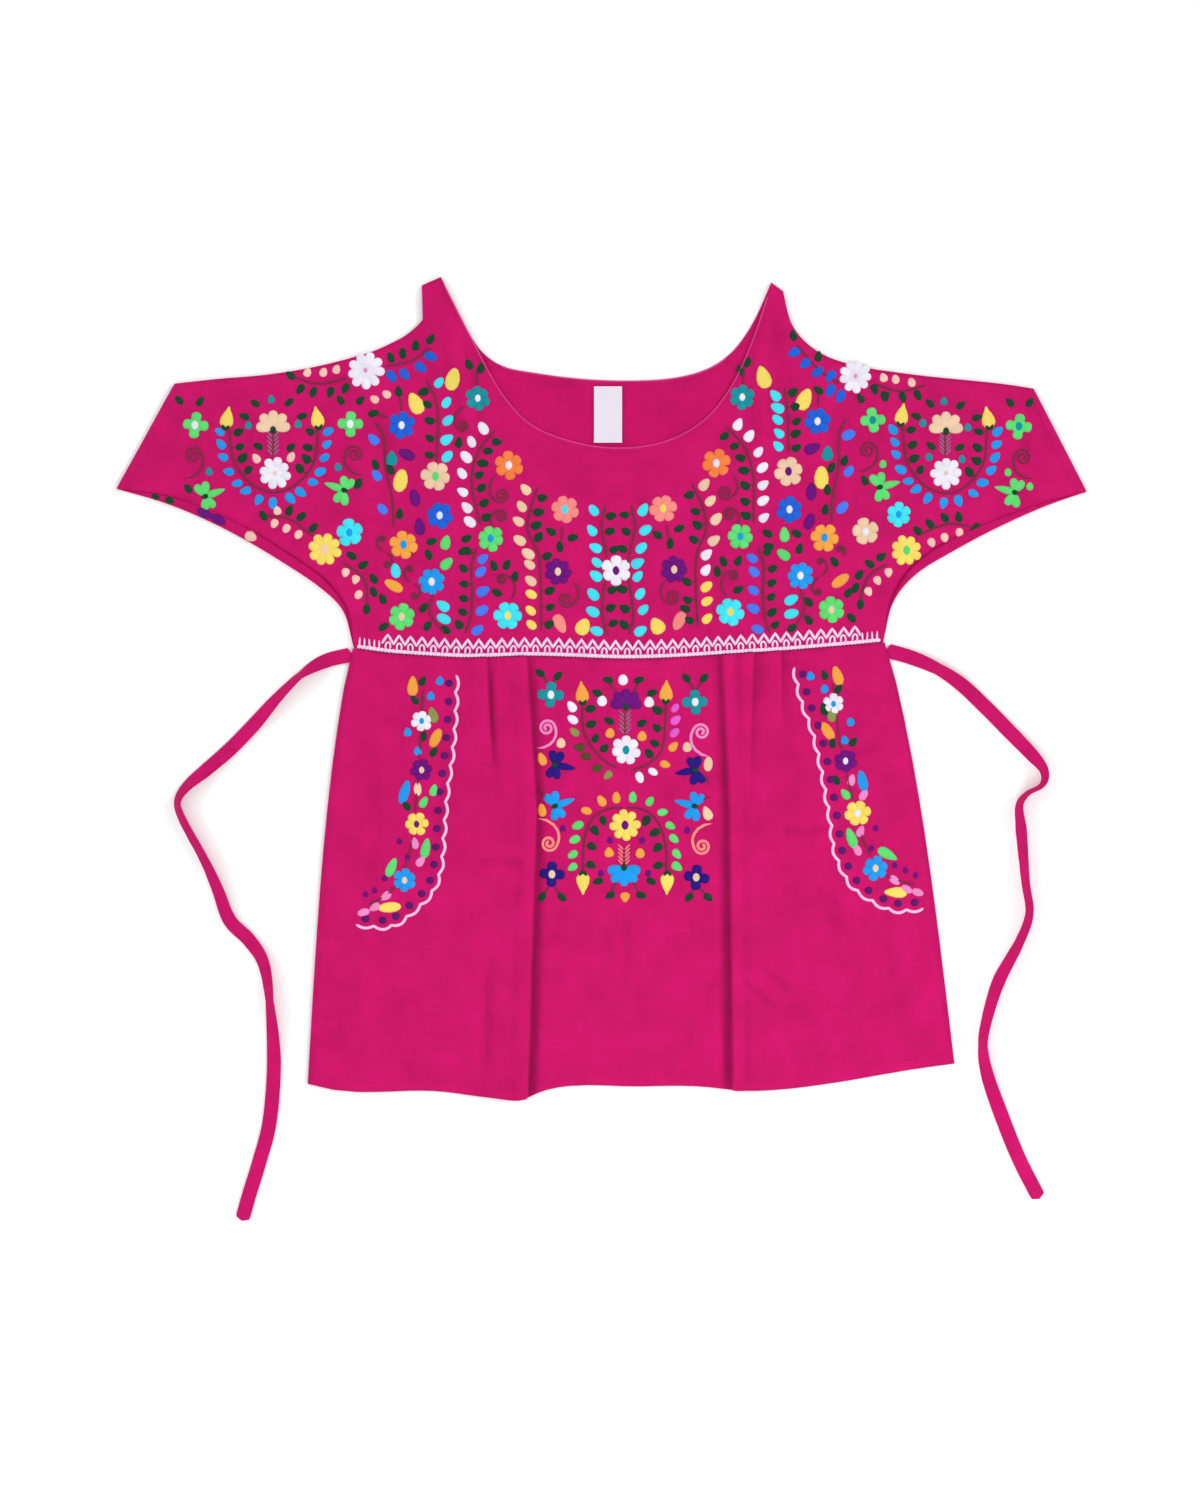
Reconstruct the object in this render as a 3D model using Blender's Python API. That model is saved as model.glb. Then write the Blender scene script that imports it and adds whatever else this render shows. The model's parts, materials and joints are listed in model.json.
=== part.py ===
"""Cold shoulder blouse laid flat on its back, as solids in metres.

The origin lies on the surface that the blouse rests on, just above the middle of the waist seam.
+Y runs up to the neck, +X to the right of the blouse seen from its front, and +Z up.
Tables are in millimetres, and MM turns them into metres.
"""

import math
from typing import NamedTuple

import bmesh
import bpy

MM = 0.001

WALL = 1.4
SEAM_GAP = 0.3
FRONT_BASE = WALL + SEAM_GAP
COLUMN_STEP = 15.0

YOKE_FRONT_ROWS = 8
YOKE_BACK_ROWS = 3
SKIRT_FRONT_ROWS = 11
SKIRT_BACK_ROWS = 5

# The back comes round the underarm seam and shows as a narrow raised roll beside the front.
ROLL_FULL_STRIP = 8.0
ROLL_EDGE_TOP = 2.1
ROLL_TOP = 3.1
ROLL_MIDDLE = 0.45
STEP_RUN = 0.02
THIN_STRIP = 1.0

SKIRT_WAIST_LEFT = -213.5
SKIRT_WAIST_RIGHT = 211.4
SKIRT_SIDE_BULGE = 7.2
SKIRT_BULGE_SHAPE = 0.7
PLEAT_MIDDLE = 0.35
LEAST_COLUMN = 2.0

TIE_WIDTH = 11.5
TIE_STEP = 10.0

BRAID_BAND = 7.0
BRAID_PEAK = 15.0
BRAID_PITCH = 9.0
BRAID_START = -209.5
BRAID_END = 207.5
ZIGZAG_START = -190.0
ZIGZAG_END = 192.0
BRAID_WALL = 1.2

LABEL_WIDTH = 22.4
LABEL_HEIGHT = 45.0
LABEL_CENTRE = (-9.6, 189.6)
LABEL_WALL = 1.0


class YokeCut(NamedTuple):
    """One straight cut through both yoke layers, from the lower edge to the upper edge.

    strip is the width of back that shows beside the front, and rise how much higher it ends.
    corner names the edge that turns sharply there: low, top or both.
    """

    low_x: float
    low_y: float
    top_x: float
    top_y: float
    strip: float = 0.0
    rise: float = 0.0
    corner: str = ""


YOKE_CUTS = [
    YokeCut(-402.4, 130.4, -356.0, 214.4, corner="both"),
    YokeCut(-359.2, 124.4, -320.0, 218.3, strip=6.5),
    YokeCut(-313.6, 107.2, -284.0, 221.3, strip=9.0),
    YokeCut(-262.4, 77.6, -240.0, 228.6, strip=9.0),
    YokeCut(-232.0, 55.5, -214.0, 235.2, strip=8.0),
    YokeCut(-216.6, 34.0, -199.0, 239.6, strip=4.0),
    YokeCut(-213.6, 13.6, -190.0, 243.2, strip=2.0),
    YokeCut(-212.8, 3.2, -183.0, 246.6, corner="low"),
    YokeCut(-185.6, -0.8, -169.0, 254.2),
    YokeCut(-158.4, -2.8, -158.4, 267.2, corner="top"),
    YokeCut(-150.0, -3.3, -158.4, 292.8, corner="top"),
    YokeCut(-136.0, -4.2, -143.2, 299.6, corner="top"),
    YokeCut(-114.4, -4.6, -114.4, 243.2, rise=1.0),
    YokeCut(-92.8, -3.8, -92.8, 204.8, rise=23.0),
    YokeCut(-72.0, -3.3, -72.0, 182.4, rise=41.5),
    YokeCut(-42.4, -4.0, -42.4, 169.6, rise=50.0),
    YokeCut(0.0, -5.6, 0.0, 163.2, rise=53.8),
    YokeCut(47.2, -4.3, 47.2, 172.8, rise=47.0),
    YokeCut(68.0, -3.0, 68.0, 186.4, rise=39.0),
    YokeCut(83.2, -2.0, 83.2, 204.0, rise=30.0),
    YokeCut(105.6, -0.6, 105.6, 249.6, rise=12.0),
    YokeCut(126.0, 0.6, 120.8, 295.2, corner="top"),
    YokeCut(138.0, 1.5, 130.4, 288.0, corner="top"),
    YokeCut(160.0, 3.4, 138.4, 258.4),
    YokeCut(186.0, 5.6, 158.4, 239.2),
    YokeCut(210.4, 8.0, 178.0, 231.4, corner="low"),
    YokeCut(211.2, 19.2, 188.0, 229.0, strip=1.8),
    YokeCut(214.0, 37.0, 200.0, 226.4, strip=2.6),
    YokeCut(228.0, 64.8, 218.0, 223.8, strip=7.5),
    YokeCut(262.0, 89.0, 246.0, 220.2, strip=9.5),
    YokeCut(310.4, 109.6, 288.0, 216.1, strip=5.5),
    YokeCut(342.0, 120.6, 310.0, 213.6, strip=3.0),
    YokeCut(372.8, 128.0, 330.4, 210.4, corner="both"),
]
WAIST_TOP = 8.1


class YokeSwell(NamedTuple):
    """A low, soft rise of the front yoke, mirrored about the middle of the neck."""

    height: float
    away: float
    y: float
    half_width: float
    half_height: float


NECK_MIDDLE = -5.0
YOKE_SWELLS = [
    YokeSwell(2.2, 250.0, 160.0, 120.0, 75.0),
    YokeSwell(2.0, 92.0, 110.0, 80.0, 88.0),
]


class HemPoint(NamedTuple):
    """A point of the skirt's wavy lower edge."""

    x: float
    y: float


HEM = [
    HemPoint(-249.6, -345.2),
    HemPoint(-232.0, -349.4),
    HemPoint(-144.0, -351.2),
    HemPoint(-104.0, -356.0),
    HemPoint(-78.0, -357.6),
    HemPoint(-62.0, -351.0),
    HemPoint(16.0, -347.2),
    HemPoint(64.0, -347.2),
    HemPoint(96.0, -350.4),
    HemPoint(128.0, -349.6),
    HemPoint(172.8, -344.0),
    HemPoint(233.6, -333.6),
    HemPoint(267.2, -329.0),
]


class Pleat(NamedTuple):
    """A pleat that opens downwards from the waist seam.

    steep is the side with the folded edge: 1 for +X, -1 for -X. reach is how far down it runs,
    as a share of the skirt, and the heights are those of its crest at the waist and at its end.
    """

    waist_x: float
    middle_x: float
    hem_x: float
    steep: int
    reach: float
    waist_height: float
    end_height: float
    soft_width: float
    steep_width: float


PLEATS = [
    Pleat(-108.0, -101.0, -96.0, 1, 0.34, 2.4, 0.0, 20.0, 5.0),
    Pleat(-76.5, -72.5, -74.5, 1, 1.0, 2.8, 4.2, 62.0, 8.0),
    Pleat(82.4, 84.0, 86.0, 1, 0.16, 2.0, 0.0, 14.0, 4.5),
    Pleat(104.0, 98.0, 94.0, -1, 1.0, 2.8, 3.8, 56.0, 8.0),
    Pleat(127.0, 138.0, 150.0, -1, 0.42, 2.4, 0.0, 24.0, 5.5),
]


class TieStation(NamedTuple):
    """A point of a tie's middle line, with the tape's roll away from lying flat, in degrees."""

    x: float
    y: float
    roll: float


LEFT_TIE = [
    TieStation(-217.8, -2.7, 0.0),
    TieStation(-235.2, -7.2, 8.0),
    TieStation(-254.4, -18.4, 58.0),
    TieStation(-273.6, -36.8, 40.0),
    TieStation(-292.8, -58.4, 8.0),
    TieStation(-312.0, -78.0, 4.0),
    TieStation(-331.2, -94.8, 18.0),
    TieStation(-345.6, -107.2, 42.0),
    TieStation(-353.0, -119.4, 54.0),
    TieStation(-348.8, -134.4, 50.0),
    TieStation(-331.6, -166.4, 44.0),
    TieStation(-321.2, -190.0, 28.0),
    TieStation(-312.0, -214.4, 10.0),
    TieStation(-296.4, -230.4, 8.0),
    TieStation(-284.8, -248.4, 26.0),
    TieStation(-279.6, -278.4, 50.0),
    TieStation(-276.6, -326.4, 6.0),
    TieStation(-280.0, -374.4, 2.0),
    TieStation(-288.0, -406.4, 0.0),
    TieStation(-296.0, -432.4, 0.0),
    TieStation(-302.4, -455.0, 0.0),
]

RIGHT_TIE = [
    TieStation(216.9, 0.4, 0.0),
    TieStation(233.6, -4.8, 14.0),
    TieStation(254.0, -14.0, 44.0),
    TieStation(272.0, -25.6, 20.0),
    TieStation(291.2, -43.2, 6.0),
    TieStation(310.4, -62.8, 12.0),
    TieStation(329.6, -83.2, 34.0),
    TieStation(338.4, -95.6, 66.0),
    TieStation(336.6, -106.4, 80.0),
    TieStation(324.6, -113.2, 80.0),
    TieStation(318.4, -123.0, 72.0),
    TieStation(320.0, -142.4, 52.0),
    TieStation(323.2, -182.4, 68.0),
    TieStation(326.4, -208.4, 70.0),
    TieStation(318.8, -231.0, 64.0),
    TieStation(302.4, -262.4, 40.0),
    TieStation(292.8, -292.4, 56.0),
    TieStation(289.4, -314.4, 62.0),
    TieStation(293.6, -339.0, 34.0),
    TieStation(306.4, -374.4, 6.0),
    TieStation(319.6, -406.4, 0.0),
    TieStation(335.4, -437.4, 0.0),
]


class Finish(NamedTuple):
    """Colour, roughness and metallic value of a piece."""

    colour: tuple
    roughness: float
    metallic: float = 0.0


MAGENTA = Finish((0.62, 0.012, 0.155, 1.0), 0.86)
MAGENTA_INSIDE = Finish((0.53, 0.01, 0.13, 1.0), 0.9)
PALE_PINK = Finish((0.93, 0.52, 0.78, 1.0), 0.7)
LABEL_WHITE = Finish((0.9, 0.88, 0.87, 1.0), 0.6)


def clamp(value, low=0.0, high=1.0):
    return max(low, min(high, value))


def swell(share):
    """A soft bump: 1 at share 0, falling to 0 at share 1 and beyond."""
    return 0.5 + 0.5 * math.cos(math.pi * clamp(share))


def distance(first, second):
    return math.hypot(second[0] - first[0], second[1] - first[1])


def between(first, second, share):
    """The point this share of the way from the first point to the second."""
    return tuple(a + (b - a) * share for a, b in zip(first, second))


def moved(start, target, length):
    """The point at this length from start towards target."""
    return between(start[:2], target[:2], length / distance(start, target))


def interpolate(position, known, values):
    """Straight-line interpolation of values given at rising known positions."""
    last = len(known) - 2
    index = next((i for i in range(last) if position < known[i + 1]), last)
    share = (position - known[index]) / (known[index + 1] - known[index])
    return values[index] + share * (values[index + 1] - values[index])


class Curve:
    """A smooth curve through points, which keeps a corner where one is named."""

    def __init__(self, points, corners=()):
        self.points = points
        self.chords = [distance(a, b) for a, b in zip(points, points[1:])]
        self.corners = {0, len(points) - 1, *corners}

    def slope(self, index, segment):
        """Change per unit length at a point, on the side of the given segment."""
        before, after = (segment, segment) if index in self.corners else (index - 1, index)
        total = self.chords[before] + self.chords[after]
        rates = []
        for axis in range(len(self.points[0])):
            arriving = self.points[before + 1][axis] - self.points[before][axis]
            leaving = self.points[after + 1][axis] - self.points[after][axis]
            weighted = arriving / self.chords[before] * self.chords[after]
            rates.append((weighted + leaving / self.chords[after] * self.chords[before]) / total)
        return rates

    def at(self, segment, share):
        """The point this share of the way along a segment, by a cubic between its ends."""
        chord = self.chords[segment]
        leave, arrive = self.slope(segment, segment), self.slope(segment + 1, segment)
        ends = zip(self.points[segment], self.points[segment + 1], leave, arrive)
        square, cube = share * share, share**3
        rising = 3 * square - 2 * cube
        return [
            start + (end - start) * rising
            + (cube - 2 * square + share) * chord * out
            + (cube - square) * chord * into
            for start, end, out, into in ends
        ]

    def steps(self, step_length):
        """Segments and shares, about one step apart, that run along the whole curve."""
        stations = []
        for segment, chord in enumerate(self.chords):
            count = math.ceil(chord / step_length)
            stations += [(segment, step / count) for step in range(count)]
        return stations + [(len(self.chords) - 1, 1.0)]


def make_material(name, finish):
    material = bpy.data.materials.new(name)
    material.use_nodes = True
    shader = material.node_tree.nodes["Principled BSDF"]
    shader.inputs["Base Color"].default_value = finish.colour
    shader.inputs["Roughness"].default_value = finish.roughness
    shader.inputs["Metallic"].default_value = finish.metallic
    return material


def link_object(name, mesh, finish):
    """Turns the bmesh into a named object with its own material."""
    bmesh.ops.recalc_face_normals(mesh, faces=mesh.faces)
    data = bpy.data.meshes.new(name)
    mesh.to_mesh(data)
    mesh.free()
    data.shade_smooth()
    data.set_sharp_from_angle(angle=math.radians(40))
    data.materials.append(make_material(name, finish))
    obj = bpy.data.objects.new(name, data)
    bpy.context.scene.collection.objects.link(obj)
    return obj


def make_slab(name, columns, finish):
    """A wall from columns of (x, y, underside, top), each from one edge to the other.

    A grid is laid through the lower points, and its extrusion is lifted to the upper ones.
    """
    mesh = bmesh.new()
    grid = bmesh.ops.create_grid(
        mesh, x_segments=len(columns) - 1, y_segments=len(columns[0]) - 1, size=1.0
    )
    ordered = sorted(grid["verts"], key=lambda vert: (round(vert.co.x, 5), vert.co.y))
    points = [point for column in columns for point in column]
    tops = {}
    for vert, (x, y, underside, top) in zip(ordered, points):
        vert.co = (x * MM, y * MM, underside * MM)
        tops[vert.co.xy.freeze()] = top * MM
    lifted = bmesh.ops.extrude_face_region(mesh, geom=mesh.faces[:])
    for item in lifted["geom"]:
        if isinstance(item, bmesh.types.BMVert):
            item.co.z = tops[item.co.xy.freeze()]
    return link_object(name, mesh, finish)


def yoke_columns():
    """Pairs of points on the lower and the upper edge, from the left sleeve hem to the right one.

    The third value is the back's strip on the lower edge and its rise on the upper one.
    """
    low_corners = [i for i, cut in enumerate(YOKE_CUTS) if cut.corner in ("low", "both")]
    top_corners = [i for i, cut in enumerate(YOKE_CUTS) if cut.corner in ("top", "both")]
    low = Curve([(cut.low_x, cut.low_y, cut.strip) for cut in YOKE_CUTS], low_corners)
    top = Curve([(cut.top_x, cut.top_y, cut.rise) for cut in YOKE_CUTS], top_corners)
    longer = Curve([(i, 0.0) for i in range(len(YOKE_CUTS))])
    longer.chords = [max(pair) for pair in zip(low.chords, top.chords)]
    return [(low.at(*station), top.at(*station)) for station in longer.steps(COLUMN_STEP)]


def waist_seam():
    """Points of the yoke's lower edge between its two side corners."""
    return [low for low, _ in yoke_columns() if low[1] < WAIST_TOP]


def waist_y(x):
    """Height of the waist seam at x."""
    seam = waist_seam()
    known = [low[0] for low in seam]
    return interpolate(clamp(x, known[0], known[-1]), known, [low[1] for low in seam])


def yoke_relief(x, y):
    """Rise of the front yoke above lying flat."""
    return sum(
        rise.height
        * swell(abs(abs(x - NECK_MIDDLE) - rise.away) / rise.half_width)
        * swell(abs(y - rise.y) / rise.half_height)
        for rise in YOKE_SWELLS
    )


def make_yoke_front():
    columns = []
    for low, top in yoke_columns():
        column = []
        for row in range(YOKE_FRONT_ROWS + 1):
            x, y = between(low[:2], top[:2], row / YOKE_FRONT_ROWS)
            underside = FRONT_BASE + yoke_relief(x, y)
            column.append((x, y, underside, underside + WALL))
        columns.append(column)
    make_slab("yoke_front", columns, MAGENTA)


def make_yoke_back():
    """The back yoke, flat below, with its underarm edge rolled up beside the front's edge."""
    pairs = yoke_columns()
    lows = [low[:2] for low, _ in pairs]
    columns = []
    for (low, top), before, after in zip(pairs, [lows[0], *lows], [*lows[1:], lows[-1]]):
        strip = max(low[2], 0.0)
        length = distance(before, after)
        outward = ((after[1] - before[1]) / length, (before[0] - after[0]) / length)
        outer = (low[0] + outward[0] * strip, low[1] + outward[1] * strip)
        upper = (top[0], top[1] + max(top[2], 0.0))
        seam = low[:2] if strip > THIN_STRIP else moved(outer, upper, THIN_STRIP)
        foot = moved(seam, outer, SEAM_GAP)
        roll_end = moved(seam, outer, SEAM_GAP + STEP_RUN)
        raised = clamp((strip - THIN_STRIP) / (ROLL_FULL_STRIP - THIN_STRIP))
        roll_top = WALL + (ROLL_TOP - WALL) * raised
        column = [
            (*outer, 0.0, WALL + (ROLL_EDGE_TOP - WALL) * raised),
            (*between(outer, roll_end, ROLL_MIDDLE), 0.0, roll_top),
            (*roll_end, 0.0, roll_top),
        ]
        for row in range(YOKE_BACK_ROWS + 1):
            column.append((*between(foot, upper, row / YOKE_BACK_ROWS), 0.0, WALL))
        columns.append(column)
    make_slab("yoke_back", columns, MAGENTA_INSIDE)


def pleat_x(pleat, share):
    """Where a pleat's crest runs, this share of the way down the skirt."""
    path = (pleat.waist_x, pleat.middle_x, pleat.hem_x)
    return interpolate(share, (0.0, PLEAT_MIDDLE, 1.0), path)


def skirt_side(side, share):
    """Where the skirt's left (-1) or right (1) edge runs, this share of the way down."""
    waist = SKIRT_WAIST_LEFT if side < 0 else SKIRT_WAIST_RIGHT
    hem = HEM[0].x if side < 0 else HEM[-1].x
    bulge = SKIRT_SIDE_BULGE * math.sin(math.pi * share**SKIRT_BULGE_SHAPE)
    return waist + (hem - waist) * share + side * bulge


def skirt_x(waist_x, share):
    """Where the column that starts at waist_x runs, this share of the way down."""
    known = [SKIRT_WAIST_LEFT, *(pleat.waist_x for pleat in PLEATS), SKIRT_WAIST_RIGHT]
    crests = [pleat_x(pleat, share) for pleat in PLEATS]
    return interpolate(waist_x, known, [skirt_side(-1, share), *crests, skirt_side(1, share)])


def hem_y(x):
    """Height of the skirt's lower edge at x."""
    edge = Curve(HEM)
    segment = next((i for i in range(len(HEM) - 2) if x < HEM[i + 1].x), len(HEM) - 2)
    share = (x - HEM[segment].x) / (HEM[segment + 1].x - HEM[segment].x)
    return edge.at(segment, share)[1]


def skirt_point(waist_x, share):
    """The point this share of the way down the skirt's column that starts at waist_x."""
    start = waist_y(waist_x) - SEAM_GAP
    return skirt_x(waist_x, share), start + (hem_y(skirt_x(waist_x, 1.0)) - start) * share


def skirt_relief(x, share):
    """Rise of the front skirt above lying flat: every pleat has a soft and a steep side."""
    rise = 0.0
    for pleat in PLEATS:
        away = (x - pleat_x(pleat, share)) * pleat.steep
        width = pleat.steep_width if away > 0 else pleat.soft_width
        along = clamp(share / pleat.reach)
        height = pleat.waist_height + (pleat.end_height - pleat.waist_height) * along
        rise += height * swell(abs(away) / width)
    return rise


def seam_stops():
    """Column starts below the yoke's own columns, so that both edges keep the same bends."""
    return [SKIRT_WAIST_LEFT, *(low[0] for low in waist_seam()[1:-1]), SKIRT_WAIST_RIGHT]


def pleated_stops():
    """Column starts on the waist seam, closer together on each pleat's steep side."""
    stops = []
    for pleat in PLEATS:
        steep = pleat.steep * pleat.steep_width
        soft = -pleat.steep * pleat.soft_width
        stops += [pleat.waist_x + offset for offset in (0.0, steep / 2, steep, soft / 3)]
    for place in seam_stops():
        if all(abs(place - stop) > LEAST_COLUMN for stop in stops):
            stops.append(place)
    return sorted(stops)


def make_skirt_front():
    columns = []
    for waist_x in pleated_stops():
        column = []
        for row in range(SKIRT_FRONT_ROWS + 1):
            share = row / SKIRT_FRONT_ROWS
            x, y = skirt_point(waist_x, share)
            underside = FRONT_BASE + skirt_relief(x, share)
            column.append((x, y, underside, underside + WALL))
        columns.append(column)
    make_slab("skirt_front", columns, MAGENTA)


def make_skirt_back():
    columns = []
    for waist_x in seam_stops():
        column = []
        for row in range(SKIRT_BACK_ROWS + 1):
            column.append((*skirt_point(waist_x, row / SKIRT_BACK_ROWS), 0.0, WALL))
        columns.append(column)
    make_slab("skirt_back", columns, MAGENTA_INSIDE)


def make_tie(name, stations):
    """A flat tape that lies on the surface and rolls towards its edge along the way."""
    line = Curve(stations)
    places = line.steps(TIE_STEP)
    middles = [line.at(*place) for place in places]
    mesh = bmesh.new()
    rings = []
    for index, (x, y, roll) in enumerate(middles):
        before, after = middles[max(index - 1, 0)], middles[min(index + 1, len(middles) - 1)]
        length = distance(before, after)
        side_x, side_y = (before[1] - after[1]) / length, (after[0] - before[0]) / length
        lean, rise = math.cos(math.radians(roll)), math.sin(math.radians(abs(roll)))
        centre = (TIE_WIDTH * rise + WALL * lean) / 2
        ring = []
        for half_width, half_wall in ((-1, -1), (1, -1), (1, 1), (-1, 1)):
            wide, thick = half_width * TIE_WIDTH / 2, half_wall * WALL / 2
            out = wide * lean - thick * rise
            up = centre + wide * rise + thick * lean
            ring.append(mesh.verts.new(((x + side_x * out) * MM, (y + side_y * out) * MM, up * MM)))
        rings.append([mesh.edges.new((ring[i], ring[(i + 1) % 4])) for i in range(4)])
    for near, far in zip(rings, rings[1:]):
        bmesh.ops.bridge_loops(mesh, edges=near + far)
    bmesh.ops.contextual_create(mesh, geom=rings[0])
    bmesh.ops.contextual_create(mesh, geom=rings[-1])
    link_object(name, mesh, MAGENTA)


def make_waist_braid():
    """The trim on the waist seam: a band with zigzag stitches that stand up from it."""
    teeth = round((ZIGZAG_END - ZIGZAG_START) / BRAID_PITCH)
    pitch = (ZIGZAG_END - ZIGZAG_START) / teeth
    heights = [(BRAID_START, BRAID_BAND), (ZIGZAG_START, BRAID_BAND)]
    for tooth in range(teeth):
        valley = ZIGZAG_START + tooth * pitch
        heights += [(valley + pitch / 2, BRAID_PEAK), (valley + pitch, BRAID_BAND)]
    heights.append((BRAID_END, BRAID_BAND))
    underside = FRONT_BASE + WALL + SEAM_GAP
    columns = []
    for x, height in heights:
        start = waist_y(x)
        columns.append([
            (x, start + height * share, underside, underside + BRAID_WALL) for share in (0.0, 1.0)
        ])
    make_slab("waist_braid", columns, PALE_PINK)


def make_care_label():
    """A blank woven label on the inside of the back, below the neck hem."""
    underside = WALL + SEAM_GAP
    columns = []
    for side in (-0.5, 0.5):
        x = LABEL_CENTRE[0] + side * LABEL_WIDTH
        columns.append([
            (x, LABEL_CENTRE[1] + end * LABEL_HEIGHT, underside, underside + LABEL_WALL)
            for end in (-0.5, 0.5)
        ])
    make_slab("care_label", columns, LABEL_WHITE)


def main():
    for obj in list(bpy.data.objects):
        bpy.data.objects.remove(obj, do_unlink=True)
    make_yoke_back()
    make_yoke_front()
    make_skirt_back()
    make_skirt_front()
    make_tie("tie_left", LEFT_TIE)
    make_tie("tie_right", RIGHT_TIE)
    make_waist_braid()
    make_care_label()


main()
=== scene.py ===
"""The looks of an embroidered blouse that lies flat on its back, made around its solid panels.

Tables are in millimetres in the blouse's own frame: +Y runs up to the neck and +X to the right.
"""

import json
import math
import random
from bisect import bisect
from itertools import accumulate
from typing import NamedTuple

import bmesh
import bpy
from bpy.props import FloatProperty, FloatVectorProperty, PointerProperty
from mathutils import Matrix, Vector, noise
from mathutils.bvhtree import BVHTree

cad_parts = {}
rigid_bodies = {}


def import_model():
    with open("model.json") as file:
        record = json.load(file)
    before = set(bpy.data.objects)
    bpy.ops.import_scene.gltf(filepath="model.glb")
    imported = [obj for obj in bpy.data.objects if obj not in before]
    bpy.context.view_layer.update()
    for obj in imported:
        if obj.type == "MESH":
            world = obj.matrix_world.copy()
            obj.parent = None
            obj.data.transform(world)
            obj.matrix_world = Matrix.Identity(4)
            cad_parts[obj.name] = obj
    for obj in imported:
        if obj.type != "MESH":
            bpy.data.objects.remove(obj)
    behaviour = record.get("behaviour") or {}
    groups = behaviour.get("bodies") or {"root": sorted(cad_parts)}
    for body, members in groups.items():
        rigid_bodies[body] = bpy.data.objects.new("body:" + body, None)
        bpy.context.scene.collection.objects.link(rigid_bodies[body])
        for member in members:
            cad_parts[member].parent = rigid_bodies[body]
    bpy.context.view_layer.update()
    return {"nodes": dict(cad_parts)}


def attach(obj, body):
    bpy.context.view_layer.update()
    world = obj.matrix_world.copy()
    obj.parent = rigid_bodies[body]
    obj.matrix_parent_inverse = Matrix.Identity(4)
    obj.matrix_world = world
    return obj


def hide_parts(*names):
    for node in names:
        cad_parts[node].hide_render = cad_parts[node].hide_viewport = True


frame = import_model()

bl_info = {
    "name": "Embroidered Blouse",
    "version": (1, 0, 0),
    "blender": (4, 5, 0),
    "location": "View3D > Sidebar > Blouse",
    "description": "Builds the cloth, trims and embroidery of a blouse that lies flat",
    "category": "Add Mesh",
}

MM = 0.001
BODY = "root"

COLUMN_STEP = 3.0
EDGE_ROWS = (0.0, 0.6, 1.5, 2.8, 4.2, 5.6)
YOKE_INNER_ROWS = 46
SKIRT_INNER_ROWS = 84
END_COLUMNS_APART = 1.4
OUTLINE_PASSES = 8
PINNED_ENDS = 5
MERGE_DISTANCE = 4e-6
FACES_DOWN = -0.3
RAY_START = 0.1

CREASE_STEP = 12.0
FOLD_STRENGTH = 1.8
FOLD_FADE = 0.3
# How the fold-depth mask for the cotton's painted shade and highlight is measured.
FOLD_REACHES = (4.0, 9.0)
FOLD_TURNS = 8
FOLD_FULL_DEPTH = 1.6
FOLD_FLOOR = 1.0

FRONT_LEVEL = 3.1
BACK_LEVEL = 1.1
BACK_HIDDEN_LEVEL = 0.9
LEAST_UNDERSIDE = 1.25
NECK_MARGIN = 3.0
WAIST_FADE = 12.0
BACK_FLUTTER = 0.25
BACK_HEM_SHARE = 0.6
TROUGH_SHARE = 0.7
YOKE_TROUGH_FADE = 12.0
YOKE_TROUGH_SHOWN = 0.6
SKIRT_TROUGH_FADE = 10.0
SKIRT_TROUGH_SHOWN = 0.5

ROLL_LEVEL = 3.05
ROLL_FULL_STRIP = 7.0
ROLL_SECTION = ((0.0, 0.25), (0.06, 0.6), (0.16, 0.86), (0.34, 1.0), (0.6, 1.02), (0.9, 0.98))
ROLL_FLUTTER = 0.5
ROLL_LEAST = 0.3
ROLL_GAP = 0.5
THIN_STRIP = 1.0

HEM_BAND = 0.28
HEM_BAND_SPREAD = 0.62
HEM_GROOVE = 0.22
HEM_GROOVE_WIDTH = 1.4


class EdgeTurn(NamedTuple):
    """How far the cloth turns down at an edge, and how far in from the edge that begins."""

    drop: float
    reach: float


SLEEVE_TURN = EdgeTurn(0.7, 2.0)
SHOULDER_TURN = EdgeTurn(1.5, 5.0)
NECK_TURN = EdgeTurn(0.8, 2.0)
YOKE_LOW_TURN = EdgeTurn(0.8, 3.5)
BACK_NECK_TURN = EdgeTurn(0.5, 2.5)
SKIRT_HEM_TURN = EdgeTurn(0.8, 2.0)
SKIRT_SIDE_TURN = EdgeTurn(1.5, 4.5)
SKIRT_WAIST_TURN = EdgeTurn(0.8, 3.0)
BACK_HEM_TURN = EdgeTurn(0.3, 2.0)


class Wave(NamedTuple):
    """Uneven waves of one size; seed sets them apart from those of the other size."""

    x_length: float
    y_length: float
    height: float
    seed: float


FLUTTER = (Wave(34.0, 46.0, 0.5, 0.0), Wave(11.0, 15.0, 0.16, 7.0))


def linear(hex_colour):
    """A colour as the shader needs it, from its usual six-figure form."""
    parts = [int(hex_colour[place:place + 2], 16) / 255 for place in (1, 3, 5)]
    return tuple(part / 12.92 if part <= 0.04045 else ((part + 0.055) / 1.055) ** 2.4 for part in parts)


def colour_property(name, description, hex_colour):
    return FloatVectorProperty(
        name=name, description=description, default=linear(hex_colour), subtype="COLOR", min=0.0, max=1.0
    )


def length_property(name, description, millimetres):
    return FloatProperty(
        name=name, description=description, default=millimetres * MM, subtype="DISTANCE", precision=4
    )


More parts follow.
